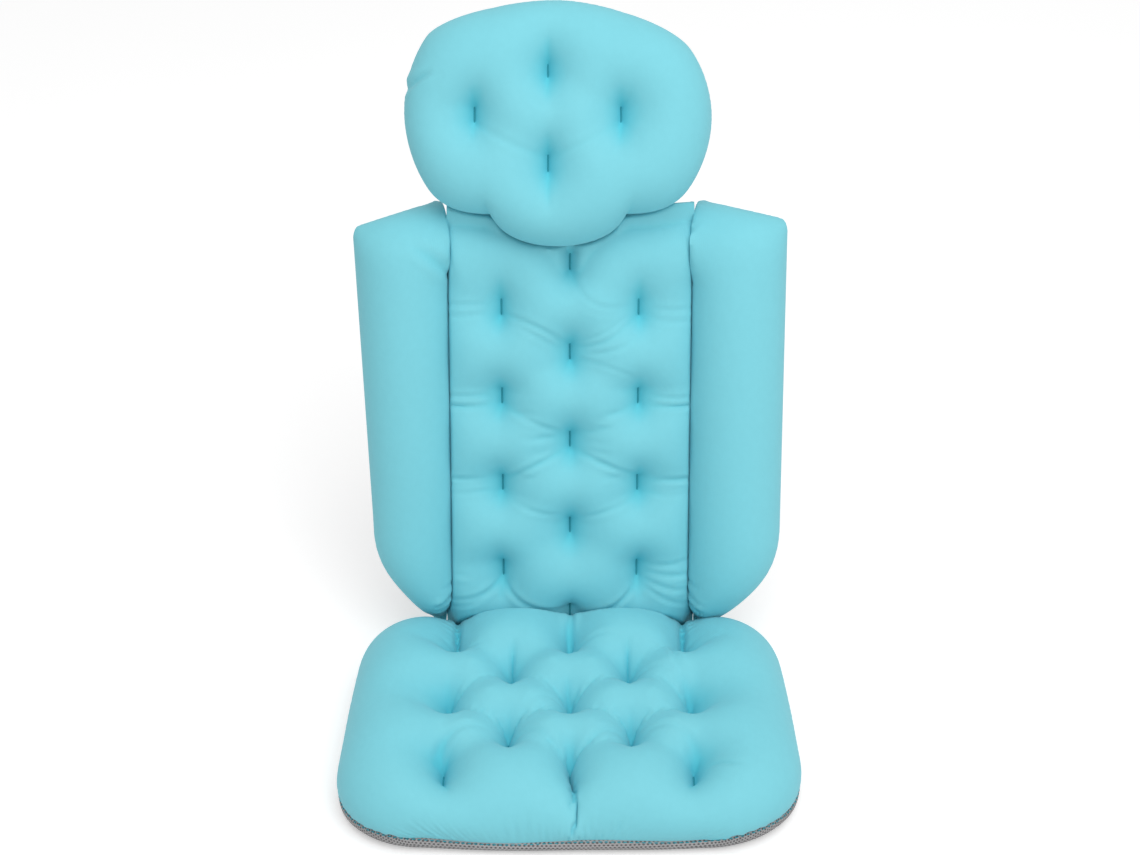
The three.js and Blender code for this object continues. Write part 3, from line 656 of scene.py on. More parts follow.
def seat_cushion(sizes):
    """The seat, flat on the floor with its fold at the rear."""
    seat = sizes.seat
    sewn = sizes.sewn
    fold_y = joint("back_fold")["pos_m"][1]

    def place(u, v):
        from_fold = (1 - v) / 2 * seat.depth
        share = from_fold / seat.depth
        half = (seat.rear_width + (seat.front_width - seat.rear_width) * share) / 2
        half = half - corner_cut(from_fold, seat.rear_corner)
        front = seat.depth - from_fold
        left = corner_cut(front, seat.left_corner)
        half = half - np.where(u < 0, left, corner_cut(front, seat.right_corner))
        return u * half, fold_y - sewn.fold_clear - from_fold + seat.bow * (u * share) ** 2

    free = Edge(seat.edge, True, False)
    edges = {
        "left": free,
        "right": free,
        "low": free,
        "high": Edge(seat.fold_slope, False, True),
    }
    to_frame = Matrix.Identity(4)
    cushion = Cushion("seat", to_frame, place, seat, sewn.seam_height, edges, sewn)
    cushion.rear_fall = seat.rear_fall
    cushion.ripple = seat.ripple
    cushion.limits = [fold_limit((0, fold_y, sewn.fold_clear), (0, -1), rest_fold())]
    rows = np.round(cushion.tufts[:, 1], 3)
    for x, y, top in cushion.tufts[rows == rows.max()]:
        end = (x * REAR_VALLEY_FLARE, fold_y - REAR_VALLEY_STOP)
        cushion.valleys.append(Valley((x, y), end, top, **REAR_VALLEY))
    front = cushion.tufts[rows == rows.min()]
    x, y, top = front[np.argmin(np.abs(front[:, 0]))]
    end = (x + FRONT_VALLEY_RUN[0], y + FRONT_VALLEY_RUN[1])
    cushion.valleys.append(Valley((x, y), end, top, **FRONT_VALLEY))
    return cushion


def back_cushion(sizes):
    """The back, leaning on its fold."""
    back = sizes.back
    sewn = sizes.sewn

    def place(u, v):
        cornered = ease((np.abs(u) - CORNER_RISE_FROM) / (1 - CORNER_RISE_FROM))
        raised = back.corner_rise * cornered * ease(v)
        return u * back.width / 2, sewn.fold_clear + (v + 1) / 2 * back.height + raised

    side = Edge(back.side_slope, False, True)
    edges = {
        "left": side,
        "right": side,
        "low": Edge(back.fold_slope, False, True),
        "high": Edge(back.top_slope, False, False),
    }
    to_frame = at_joint("back_fold") @ back_turn() @ Matrix.Translation((0, 0, -sewn.fold_clear))
    cushion = Cushion("back", to_frame, place, back, sewn.seam_height, edges, sewn)
    cushion.tufts[:, 2] += back.tuft_lift
    cushion.add_yoke(back)
    groove = math.degrees(sizes.bolster.turn)
    wing_x = abs(joint("left_wing_fold")["pos_m"][0])
    cushion.limits = [
        fold_limit((0, 0, sewn.fold_clear), (0, 1), rest_fold()),
        fold_limit((-wing_x, 0, sewn.fold_clear), (1, 0), groove),
        fold_limit((wing_x, 0, sewn.fold_clear), (-1, 0), groove),
    ]
    cushion.rests_under = pressed_by_head(sizes, to_frame, cushion.tufts)
    return cushion


def bolster_cushion(sizes, name, side):
    """A bolster, hinged on one side of the back; side is -1 on the left and 1 on the right."""
    bolster = sizes.bolster
    sewn = sizes.sewn
    height = sizes.back.height - bolster.foot
    taper = bolster.left_taper if side < 0 else 0.0
    drop = bolster.left_drop if side < 0 else bolster.right_drop

    def place(u, v):
        outward = (side * u + 1) / 2
        upward = (v + 1) / 2
        width = bolster.width - taper * (1 - upward)
        width = width - sloped_cut(upward * height, bolster.corner)
        width = width - sloped_cut((1 - upward) * height, bolster.shoulder)
        low = bolster.foot + bolster.foot_rise * outward
        high = sizes.back.height - drop * outward
        y = sewn.fold_clear + low + (high - low) * upward
        return side * (sewn.fold_clear + outward * width), y

    groove = Edge(bolster.side_slope, False, True)
    outer = Edge(bolster.outer_edge, True, False)
    end = Edge(bolster.end_edge, True, False)
    edges = {
        "left": groove if side > 0 else outer,
        "right": outer if side > 0 else groove,
        "low": end,
        "high": end,
    }
    to_frame = (
        at_joint(name + "_fold")
        @ back_turn()
        @ Matrix.Rotation(-side * bolster.turn, 4, "Y")
        @ Matrix.Translation((0, 0, -sewn.fold_clear))
    )
    cushion = Cushion(name, to_frame, place, bolster, bolster.seam_height, edges, sewn)
    cushion.heart = (-BOLSTER_HEART[0] * side, BOLSTER_HEART[1])
    cushion.add_yoke(sizes.back)
    turned = math.degrees(bolster.turn)
    cushion.limits = [fold_limit((0, 0, sewn.fold_clear), (side, 0), turned)]
    return cushion


def head_matrix(sizes):
    """Carries the head cushion from lying flat to its place."""
    head = sizes.head
    return (
        at_joint("head_tilt")
        @ back_turn()
        @ Matrix.Rotation(-head.tilt, 4, "X")
        @ Matrix.Translation((0, head.rise, head.standoff))
    )


def head_cushion(sizes):
    """The head cushion, which overlaps the top of the back."""
    head = sizes.head

    def corner_half(v):
        share = (v + 1) / 2
        return (head.lower_width + (head.upper_width - head.lower_width) * share) / 2

    def half_at(v):
        middle = corner_half(np.zeros_like(v))
        return corner_half(v) + (head.width / 2 - middle) * (1 - v * v)

    def place(u, v):
        low_half = half_at(-np.ones_like(u))
        reach = u * low_half / (head.tongue_width / 2)
        lower = -head.lobe + (head.lobe - head.lower_corner) * u**LOBE_POWER
        lower = lower - head.tongue_drop * np.sqrt(np.maximum(0, 1 - reach * reach))
        crest = np.maximum(0, 1 - u * u) ** CREST_POWER
        fall = head.top_fall * np.clip(u, 0, 1) ** TOP_FALL_POWER
        upper = head.upper_corner + (head.top - head.upper_corner) * crest - fall
        return u * half_at(v), lower + (upper - lower) * (v + 1) / 2

    free = Edge(head.edge, True, False)
    edges = {"left": free, "right": free, "low": free, "high": free}
    sewn = sizes.sewn
    return Cushion("head", head_matrix(sizes), place, head, sewn.seam_height, edges, sewn)


FOLD_GAP = 0.00005  # from a cover to the plane that parts it from its neighbour


def fold_limit(origin, inward, turned):
    """The plane halfway between two cushions at a fold that is turned by so many degrees."""
    lean = math.radians(180 - turned) / 2
    normal = np.array(
        [-inward[0] * math.sin(lean), -inward[1] * math.sin(lean), math.cos(lean)]
    )
    return Limit(np.array(origin) - normal * FOLD_GAP, normal)


def inside_outline(places, outline):
    """Distance of each place inside a closed outline, negative outside it."""
    nearest = np.full(len(places), np.inf)
    crossings = np.zeros(len(places), int)
    for start, end in zip(outline, np.roll(outline, -1, 0)):
        _, away = beside_line(places[:, 0], places[:, 1], start, end)
        nearest = np.minimum(nearest, away)
        level = (start[1] > places[:, 1]) != (end[1] > places[:, 1])
        rise = end[1] - start[1] if end[1] != start[1] else 1e-12
        across = start[0] + (places[:, 1] - start[1]) / rise * (end[0] - start[0])
        crossings += level & (places[:, 0] < across)
    return np.where(crossings % 2 == 1, nearest, -nearest)


# The underside of the head cushion near its outline, as distance inside it and height, in metres.
HEAD_UNDERSIDE = (
    (-0.008, 0.0300),
    (-0.004, 0.0130),
    (-0.0015, 0.0105),
    (0.0005, 0.0060),
    (0.0030, 0.0020),
    (0.0060, 0.0),
    (0.0095, -0.0008),
    (0.0160, -0.0014),
)
HEAD_OUTLINE_SPACING = 0.008
HEAD_PRESS_BELOW = 0.02  # how far below the head cushion the back's cover is looked at
TRAY_SWELL = 0.05  # from the edge of a mesh face to where it has swollen fully
SEWN_DOWN = 0.012  # how far from a tuft's bar the cover can't be filled out
# The cover is filled out beside the head's outline, to a ridge that curves off under it.
RIDGE_FROM = 0.0035
RIDGE_HEIGHT = 0.0112
RIDGE_SLOPE = 0.4
RIDGE_CURVE = 440


def pressed_by_head(sizes, to_frame, tufts):
    """Presses the back's cover down under the head cushion, and fills it out along its outline."""
    to_head = head_matrix(sizes).inverted() @ to_frame
    turn = np.array(to_head.to_3x3())
    shift = np.array(to_head.translation)
    outline = head_cushion(sizes).outline(HEAD_OUTLINE_SPACING)[:, :2]

    def sewn_down(places):
        nearest = np.full(len(places), np.inf)
        for tuft in tufts:
            away = from_bar(places[:, 0], places[:, 1], tuft, sizes.sewn.bar)
            nearest = np.minimum(nearest, away)
        return np.exp(-((nearest / SEWN_DOWN) ** 2))

    def press(points):
        near = points @ turn.T + shift
        high = near[..., 1] > outline[:, 1].min() - HEAD_PRESS_BELOW
        inside = inside_outline(near[high][:, :2], outline)
        most = np.interp(inside, *zip(*HEAD_UNDERSIDE))
        swell = ease((inside - HEAD_UNDERSIDE[-1][0]) / TRAY_SWELL)
        most = most - sizes.sewn.tray_crown * swell
        outside = -inside - RIDGE_FROM
        ridge = np.where(outside > 0, RIDGE_SLOPE * outside, RIDGE_CURVE * outside**2)
        least = RIDGE_HEIGHT - ridge
        height = near[high][:, 2]
        filled = np.maximum(0, least - height) * (1 - sewn_down(points[high]))
        near[high, 2] = np.minimum(height + filled, most)
        return (near - shift) @ turn

    return press


def all_cushions(sizes):
    """The five cushions, in the order in which they are made."""
    return [
        seat_cushion(sizes),
        back_cushion(sizes),
        bolster_cushion(sizes, "left_wing", -1),
        bolster_cushion(sizes, "right_wing", 1),
        head_cushion(sizes),
    ]


def grid_quads(rows, columns):
    """Faces of a grid of points, row after row."""
    first = (np.arange(rows - 1)[:, None] * columns + np.arange(columns - 1)).ravel()
    return np.stack([first, first + 1, first + columns + 1, first + columns], 1)


def grid_border(rows, columns):
    """Point numbers once round the border of a grid, anticlockwise."""
    low = np.arange(columns)
    right = np.arange(1, rows) * columns + columns - 1
    high = np.arange(columns - 2, -1, -1) + (rows - 1) * columns
    left = np.arange(rows - 2, 0, -1) * columns
    return np.concatenate([low, right, high, left])


def band(one, two):
    """Faces between two closed rings of point numbers."""
    return np.stack([one, np.roll(one, -1), np.roll(two, -1), two], 1)


def new_object(name, points, faces):
    """A smooth mesh object in the scene."""
    mesh = bpy.data.meshes.new(name)
    mesh.from_pydata(np.asarray(points).tolist(), [], [list(map(int, face)) for face in faces])
    mesh.update()
    mesh.polygons.foreach_set("use_smooth", np.ones(len(mesh.polygons), bool))
    made = bpy.data.objects.new(name, mesh)
    bpy.context.scene.collection.objects.link(made)
    return made


def lay_uv(made, flat):
    """Gives each corner the place of its point in the flat cloth, in metres."""
    corners = np.zeros(len(made.data.loops), int)
    made.data.loops.foreach_get("vertex_index", corners)
    layer = made.data.uv_layers.new(name="cloth")
    layer.data.foreach_set("uv", np.asarray(flat)[corners].astype(np.float32).ravel())


def doubled(points):
    """A grid with a smooth row and column put in between every two."""
    for axis in (0, 1):
        points = np.moveaxis(points, axis, 0)
        before = np.concatenate([2 * points[:1] - points[1:2], points[:-2]])
        after = np.concatenate([points[2:], 2 * points[-1:] - points[-2:-1]])
        between = (9 * (points[:-1] + points[1:]) - before - after) / 16
        finer = np.empty((2 * len(points) - 1,) + points.shape[1:])
        finer[0::2] = points
        finer[1::2] = between
        points = np.moveaxis(finer, 0, axis)
    return points


def grid_normals(points):
    """Directions square to a grid at its points."""
    across = np.gradient(points, axis=1)
    along = np.gradient(points, axis=0)
    normal = np.cross(across, along)
    return normal / np.maximum(1e-12, np.linalg.norm(normal, axis=-1, keepdims=True))


VALLEY_HOLD = 0.0025  # how near to a valley's line a point has to be to be sewn down
VALLEY_HELD = 0.9  # share of the valley that is sewn down


class Cover:
    """The grid of a cushion's cover while it is cut, stuffed and creased."""

    def __init__(self, cushion, spacing):
        self.cushion = cushion
        across, along = cushion.even_lines(spacing)
        u, v = np.meshgrid(across, along)
        spots = doubled(np.stack([u, v], axis=-1))
        self.rim = spots.reshape(-1, 2)[grid_border(*spots.shape[:2])].T
        self.points = cushion.surface(u, v)
        self.held = np.zeros(u.shape, bool)
        self.held[[0, -1], :] = True
        self.held[:, [0, -1]] = True
        self.hold_tufts()
        squares = [len(line) - 1 for line in (across, along)]
        runs = [np.linspace(-0.5, 0.5, count + 1) * count * spacing for count in squares]
        self.flat = np.stack(np.meshgrid(*runs), axis=-1)

    def hold_tufts(self):
        """Sews points down under the bars and along the valleys, and brings them into line."""
        sewn = self.cushion.sewn
        for tuft_x, tuft_y, top in self.cushion.tufts:
            floor = top - 2 * sewn.bar_radius
            for points, held in zip(self.points, self.held):
                column = np.argmin(np.abs(points[:, 0] - tuft_x))
                if abs(points[column, 1] - tuft_y) <= sewn.bar / 2:
                    points[column, 0] = tuft_x
                    points[column, 2] = floor
                    held[column] = True
        for valley in self.cushion.valleys:
            run = valley.end[0] - valley.start[0]
            for points, held in zip(self.points, self.held):
                share, away = beside_line(points[:, 0], points[:, 1], valley.start, valley.end)
                column = np.argmin(away)
                if away[column] < VALLEY_HOLD and 0 < share[column] < VALLEY_HELD:
                    points[column, 0] = valley.start[0] + run * share[column]
                    held[column] = True

    def cloth_object(self):
        """The grid as an object whose sewn points are in a group."""
        rows, columns = self.held.shape
        made = new_object(
            self.cushion.name + "_cloth",
            self.points.reshape(-1, 3),
            grid_quads(rows, columns),
        )
        group = made.vertex_groups.new(name="sewn")
        group.add(np.flatnonzero(self.held).tolist(), 1.0, "REPLACE")
        return made


CLOTH_QUALITY = 6  # steps of the simulation in each frame
SHEAR_EASE = 3  # how much more easily the cloth shears than it stretches


def stuff(covers, settings):
    """Swells the covers with Blender's cloth, held along their rims and at their tufts."""
    scene = bpy.context.scene
    cloths = [cover.cloth_object() for cover in covers]
    for cover, cloth in zip(covers, cloths):
        modifier = cloth.modifiers.new("stuffing", "CLOTH")
        physics = modifier.settings
        physics.quality = CLOTH_QUALITY
        physics.vertex_group_mass = "sewn"
        physics.use_pressure = True
        physics.uniform_pressure_force = settings.pressure
        physics.shrink_min = -cover.cushion.slack
        physics.tension_stiffness = settings.stiffness
        physics.compression_stiffness = settings.stiffness
        physics.shear_stiffness = settings.stiffness / SHEAR_EASE
        physics.bending_stiffness = settings.bending
        physics.effector_weights.gravity = 0
        modifier.collision_settings.use_collision = False
        modifier.point_cache.frame_end = settings.steps
    for step in range(1, settings.steps + 1):
        scene.frame_set(step)
    graph = bpy.context.evaluated_depsgraph_get()
    for cover, cloth in zip(covers, cloths):
        swollen = np.zeros(cover.held.size * 3, np.float32)
        cloth.evaluated_get(graph).data.vertices.foreach_get("co", swollen)
        moved = swollen.reshape(cover.points.shape) - cover.points
        far = np.linalg.norm(moved, axis=-1, keepdims=True)
        kept = np.minimum(1, settings.furthest / np.maximum(far, 1e-9))
        cover.points = cover.points + moved * kept
        bpy.data.objects.remove(cloth)
    scene.frame_set(1)


CREASE_TAPER = 0.6  # the lower, the blunter the ends of a crease
RIDGE_SHARE = 0.5  # height of the ridges beside a crease, as a share of its depth


def creased(points, creases):
    """Presses fine folds into the cover, each with a soft ridge on either side."""
    normals = grid_normals(points)
    lift = np.zeros(points.shape[:2])
    for path, depth, width in creases:
        near = np.full(lift.shape, np.inf)
        share = np.zeros(lift.shape)
        for step in range(len(path) - 1):
            part, away = beside_line(points[..., 0], points[..., 1], path[step], path[step + 1])
            closer = away < near
            near = np.where(closer, away, near)
            share = np.where(closer, (step + part) / (len(path) - 1), share)
        taper = np.sin(np.clip(share, 0, 1) * math.pi) ** CREASE_TAPER
        ridge = RIDGE_SHARE * np.exp(-(((near - 2 * width) / width) ** 2))
        fold = -np.exp(-((near / width) ** 2)) + ridge
        lift = lift + depth * taper * fold
    return points + lift[..., None] * normals


# Gathers along the seams: each wave as height, radians per metre and start.
GATHER_RATE = 930
GATHER_DRIFT = ((2.2, 61, 0),)
GATHER_WAVES = ((0.6, 551, 1.3),)
GATHER_PATCHES = ((0.45, 37, 0.7),)
GATHER_MEAN = 0.55
GATHER_REACH = 0.013  # how far from the seam they fade out
GATHER_START = 0.003  # how far from the seam they have risen


def gathered(points, flat, cushion):
    """Fine upright gathers where the cover is sewn to the mesh along its free edges."""
    normals = grid_normals(points)
    across = flat[..., 0]
    along = flat[..., 1]
    lift = np.zeros(across.shape)
    edges = (
        ("low", along - along.min(), across),
        ("high", along.max() - along, across),
        ("left", across - across.min(), along),
        ("right", across.max() - across, along),
    )
    for side, away, run in edges:
        if not cushion.edges[side].folds:
            wave = np.sin(run * GATHER_RATE + waves(run, GATHER_DRIFT)) + waves(run, GATHER_WAVES)
            patch = GATHER_MEAN + waves(run, GATHER_PATCHES)
            fade = np.exp(-((away / GATHER_REACH) ** 2)) * ease(away / GATHER_START)
            lift = lift + cushion.gathers * wave * patch * fade
    return points + lift[..., None] * normals


# Fine and broad hollows, which set the painted shade of the covers: rounds of smoothing, depth at
# which they count fully, and weight.
HOLLOW_SHADE_SCALES = ((10, 0.0012, 0.25), (200, 0.0085, 0.65))


def hollows(points):
    """How far each point of a grid lies sunk among its neighbours, from 0 to 1, which sets its
    painted shade.
    """
    normals = grid_normals(points)
    depth = np.zeros(points.shape[:2])
    near = points
    for rounds, full, weight in HOLLOW_SHADE_SCALES:
        for _ in range(rounds):
            wide = np.pad(near, ((1, 1), (1, 1), (0, 0)), mode="edge")
            near = (wide[2:, 1:-1] + wide[:-2, 1:-1] + wide[1:-1, 2:] + wide[1:-1, :-2]) / 4
        sunk = ((near - points) * normals).sum(-1)
        depth = depth + weight * np.clip(sunk / full, 0, 1)
    return np.minimum(1, depth)


# The hem under a cover's rim: shares of how far it is drawn in and of how far it falls.
HEM = ((0.25, 0.45), (0.6, 0.8), (1.0, 1.0), (1.8, 0.95))
PLAIN_HEM_FALL = 0.0012  # where the cover doesn't wrap round
SHARP_EDGE = math.radians(60)


def hemmed(cover, points, flat):
    """Points, flat places and faces of a cover with its hem, closed underneath."""
    cushion = cover.cushion
    border = grid_border(*points.shape[:2])
    faces = list(grid_quads(*points.shape[:2]))
    body = [points.reshape(-1, 3)]
    cloth = [flat.reshape(-1, 2)]
    rim = body[0][border]
    normal = outward_normals(rim)
    u, v = cover.rim
    at_rim = cushion.drawn_in(u, v, 0.0)
    previous = border
    fall = rim[:, 2] * (1 - WRAPPED_SEAM) if cushion.wrap else PLAIN_HEM_FALL
    for turn_in, sink in HEM:
        drawn = turn_in * (cushion.wrap + WRAP_INSET)
        place = rim[:, :2] + cushion.drawn_in(u, v, drawn) - at_rim
        number = sum(map(len, body)) + np.arange(len(border))
        faces += list(band(number, previous))
        body.append(np.column_stack([place, rim[:, 2] - fall * sink]))
        cloth.append(cloth[0][border] + normal * drawn)
        previous = number
    hub = np.full(len(border), sum(map(len, body)))
    faces += list(np.stack([previous, hub, np.roll(previous, -1)], 1))
    body.append(body[-1].mean(0)[None])
    cloth.append(np.zeros((1, 2)))
    return np.concatenate(body), np.concatenate(cloth), faces


def finish_cover(cover, material):
    """Makes the visible cover from its grid."""
    cushion = cover.cushion
    flat = doubled(cover.flat)
    points = cushion.held_in(doubled(cover.points))
    points = gathered(creased(points, cushion.creases), flat, cushion)
    points = cushion.run_on(cushion.held_in(points))
    body, cloth, faces = hemmed(cover, points, flat)
    made = new_object(cushion.name + "_padded_cover", cushion.to_model(body), faces)
    lay_uv(made, cloth)
    made.data.set_sharp_from_angle(angle=SHARP_EDGE)
    # Painted shade: how deeply each point lies sunk, kept for the cover's material to deepen its
    # colour there.
    sunk = np.zeros(len(body), np.float32)
    sunk[: points[..., 0].size] = hollows(points).ravel()
    made.data.attributes.new("hollow_shade", "FLOAT", "POINT").data.foreach_set("value", sunk)
    made.data.materials.append(material)
    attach(made, cushion.name)
    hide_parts(cushion.name + "_cover", cushion.name + "_fill")


ASKEW = (0.31, 0.23, 0.92)  # a direction in which no seam runs


class Sewing:
    """Points and faces of many small bodies that make one piece."""

    def __init__(self):
        self.points = []
        self.faces = []

    def tube(self, path, radii, sides, aside=ASKEW):
        """A round body along a path, closed at both ends; aside is never along the path."""
        path = np.asarray(path, float)
        along = np.gradient(path, axis=0)
        along = along / np.linalg.norm(along, axis=1, keepdims=True)
        first = len(self.points)
        turns = np.arange(sides) * 2 * math.pi / sides
        for place, ahead, radius in zip(path, along, radii):
            one = np.cross(ahead, aside)
            one = one / np.linalg.norm(one)
            two = np.cross(ahead, one)
            ring = place + radius * (np.cos(turns)[:, None] * one + np.sin(turns)[:, None] * two)
            self.points.extend(ring)
        rings = first + np.arange(len(path) * sides).reshape(-1, sides)
        for one, two in zip(rings, rings[1:]):
            self.faces.extend(band(one, two))
        self.faces.append(rings[0][::-1])
        self.faces.append(rings[-1])

    def piece(self, name, cushion, material):
        """The finished piece, riding on the cushion's body."""
        made = new_object(name, cushion.to_model(np.array(self.points)), self.faces)
        made.data.materials.append(material)
        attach(made, cushion.name)
        return made


# Bar tacks, with shares of the bar's half length or radius.
BAR_RUN = np.linspace(-1, 1, 41)
BAR_SIDES = 10
BAR_DIP = 0.0022  # how far its ends dip into the cloth
BAR_DIP_FROM = 0.8
BAR_WINDINGS = 7
BAR_WOUND = 0.20  # how much the wound thread stands out
BAR_LEG = 0.86  # place of the threads that join the two bars of a tuft
REAR_BAR = 1.3  # height of the rear bar over the underside
THREAD_SIDES = 6
ACROSS = (1, 0, 0)


def bar_path(x, y, height, half, dip):
    """A sewn bar whose ends dip into the cloth; dip is the depth and side of the dip."""
    ends = np.clip((np.abs(BAR_RUN) - BAR_DIP_FROM) / (1 - BAR_DIP_FROM), 0, 1) ** 2
    return np.stack([np.full_like(BAR_RUN, x), y + BAR_RUN * half, height - dip * ends], axis=1)


def sew_tacks(cushion, material):
    """Bar tacks on a tufted cover and on its mesh, with the threads that join them."""
    if not len(cushion.tufts):
        return
    sewn = cushion.sewn
    sewing = Sewing()
    wound = 1 - BAR_WOUND + BAR_WOUND * np.abs(np.sin(BAR_RUN * math.pi * BAR_WINDINGS))
    radii = sewn.bar_radius * wound * rounded_ends(BAR_RUN, power=8, least=0.12)
    half = sewn.bar / 2
    rear = sewn.bar_radius * REAR_BAR
    for x, y, top in cushion.tufts:
        front = top - sewn.bar_radius
        for height, dip in ((front, BAR_DIP), (rear, -BAR_DIP)):
            sewing.tube(bar_path(x, y, height, half, dip), radii, BAR_SIDES, ACROSS)
        for end in (-BAR_LEG, BAR_LEG):
            leg = [(x, y + end * half, rear), (x, y + end * half, front)]
            sewing.tube(leg, [sewn.thread_radius] * 2, THREAD_SIDES, ACROSS)
    made = sewing.piece(cushion.name + "_bar_tacks", cushion, material)
    tufts = [node for node in frame["nodes"] if node.startswith(cushion.name + "_tuft_")]
    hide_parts(*tufts)


def outward_normals(outline):
    """Directions square to the outline, in the plane of the cushion."""
    ahead = np.roll(outline[:, :2], -1, 0) - np.roll(outline[:, :2], 1, 0)
    normal = np.stack([ahead[:, 1], -ahead[:, 0]], 1)
    return normal / np.linalg.norm(normal, axis=1, keepdims=True)


# The mesh undersides, in metres.
DIMPLE_HEIGHT = 0.0026  # how far the mesh is drawn in at a tuft
DIMPLE_REACH = 0.0085
FACE_RINGS = 34  # rings of points from the edge of a mesh face to its middle
MESH_THICKNESS = 0.0012
# The wall of a tray: how far inside the seam it lies, and its share of the seam's height.
TRAY_WALL = (
    (0.0016, 1.05),
    (0.0002, 0.97),
    (-0.0007, 0.78),
    (-0.0004, 0.52),
    (0.0018, 0.26),
    (0.0052, 0.07),
)


def underside(cushion, places):
    """Heights of the mesh face: swollen where it is free, and drawn in at the tufts."""
    crown = 0 if cushion.name == "seat" else cushion.sewn.tray_crown
    height = -crown * ease(inside_outline(places, cushion.tray_face()) / TRAY_SWELL)
    for tuft in cushion.tufts:
        away = from_bar(places[:, 0], places[:, 1], tuft, cushion.sewn.bar)
        height = height + (DIMPLE_HEIGHT - height) * np.exp(-((away / DIMPLE_REACH) ** 2))
    return height


def make_tray(cushion, material):
    """The mesh underside: a low wall that turns in under the cushion, and a face."""
    outline = cushion.sewn_line(MESH_SPACING)
    normal = outward_normals(outline)
    base = cushion.tray_face()
    middle = np.concatenate(cushion.place(*np.array(cushion.heart)[:, None]))
    wall = np.array([*TRAY_WALL, (cushion.sewn.tray_turn, 0.0)])
    inside = wall[:, :1]
    height = wall[:, 1:] * outline[:, 2]
    steps = np.hypot(np.diff(inside, axis=0), np.diff(height, axis=0))
    rings = []
    flats = []
    for step in range(len(wall)):
        place = cushion.sewn_line(MESH_SPACING, wall[step, 0])[:, :2]
        rings.append(np.column_stack([place, height[step]]))
        flats.append(base + normal * steps[step:].sum(0)[:, None])
    for share in np.linspace(1, 0, FACE_RINGS)[1:-1]:
        place = middle + (base - middle) * share
        rings.append(np.column_stack([place, underside(cushion, place)]))
        flats.append(place)
    points = np.concatenate(rings + [[[*middle, rings[-1][:, 2].mean()]]])
    numbers = np.arange(len(points) - 1).reshape(len(rings), -1)
    ahead = np.roll(numbers, -1, 1)
    sides = np.stack([numbers[:-1], numbers[1:], ahead[1:], ahead[:-1]], 2).reshape(-1, 4)
    hub = np.full_like(numbers[-1], len(points) - 1)
    faces = [*sides, *np.stack([numbers[-1], hub, ahead[-1]], 1)]
    made = new_object(cushion.name + "_mesh_tray", cushion.to_model(points), faces)
    lay_uv(made, np.concatenate(flats + [[middle]]))
    made.data.materials.append(material)
    cloth = made.modifiers.new("mesh_cloth", "SOLIDIFY")
    cloth.thickness = MESH_THICKNESS
    cloth.offset = -1
    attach(made, cushion.name)
    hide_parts(cushion.name + "_mesh")


RIM_SPACING = 0.002
STITCH_POINTS = 6
STITCH_STANDOFF = 0.0005  # how far the stitches lie outside the seam
STITCH_HEIGHT = 0.90  # their height as a share of the seam's


def sew_rim(cushion, material):
    """Stitches of the seam that holds the cover to the mesh."""
    sewn = cushion.sewn
    seam = cushion.sewn_line(RIM_SPACING, -STITCH_STANDOFF)
    seam[:, 2] *= STITCH_HEIGHT
    closed = np.concatenate([seam, seam[:1]])
    run = run_along(closed)
    count = int(run[-1] / sewn.stitch_pitch)
    sewing = Sewing()
    shares = np.linspace(-0.5, 0.5, STITCH_POINTS)
    radii = sewn.thread_radius * rounded_ends(2 * shares, power=4, least=0.1)
    for number in range(count):
        at = (number + 0.5) / count * run[-1] + shares * sewn.stitch
        path = np.stack([np.interp(at, run, closed[:, axis]) for axis in range(3)], axis=1)
        sewing.tube(path, radii, THREAD_SIDES)
    sewing.piece(cushion.name + "_rim_stitches", cushion, material)


ROLL_ACROSS = 0  # the axis that a roll runs along
ROLL_ALONG = 1
ROLL_FOOT = 0.016  # how much further down the groove rolls reach than their solids
ROLL_POINTS = 161
ROLL_SIDES = 14
ROLL_FULLNESS = 0.93
ROLL_GATHERS = ((0.05, 97, 0), (0.02, 41, 1))


def roll_seam(node, cushion, axis, material):
    """A gathered roll of cover cloth in a fold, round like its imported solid."""
    points = local_points(node, cushion.to_frame)
    low = points.min(0)
    high = points.max(0)
    if axis == ROLL_ALONG:
        low[axis] -= ROLL_FOOT
    middle = (low + high) / 2
    radius = (high[2] - low[2]) / 2
    run = np.linspace(-1, 1, ROLL_POINTS)
    path = np.tile(middle, (len(run), 1))
    path[:, axis] += run * (high[axis] - low[axis]) / 2
    gathers = ROLL_FULLNESS + waves(run, ROLL_GATHERS)
    ends = rounded_ends(run, power=60, least=0.05)
    sewing = Sewing()
    sewing.tube(path, radius * gathers * ends, ROLL_SIDES)
    made = sewing.piece(node + "_roll", cushion, material)
    lay_uv(made, np.array(sewing.points)[:, [0, 1]])
    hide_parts(node)


# The neck strip, seen from the side: places up and out from the neck fold, after its foot there.
STRIP_FOOT = 0.72  # place of its foot, as a share of the fold clearance
STRIP_CLIMB = (
    (0.006, 0.0085),
    (0.0125, 0.0152),
    (0.0175, 0.0168),
    (0.025, 0.0168),
    (0.033, 0.0168),
)
STRIP_ROWS = 31
STRIP_COLUMNS = 41
STRIP_FREE = 3  # how many of its stretches hang free
STRIP_SAG = 0.0006
STRIP_WAVES = 7
STRIP_STANDOFF = 0.0016  # from the mesh face to the middle of the cloth
STRIP_CLOTH = 0.0011


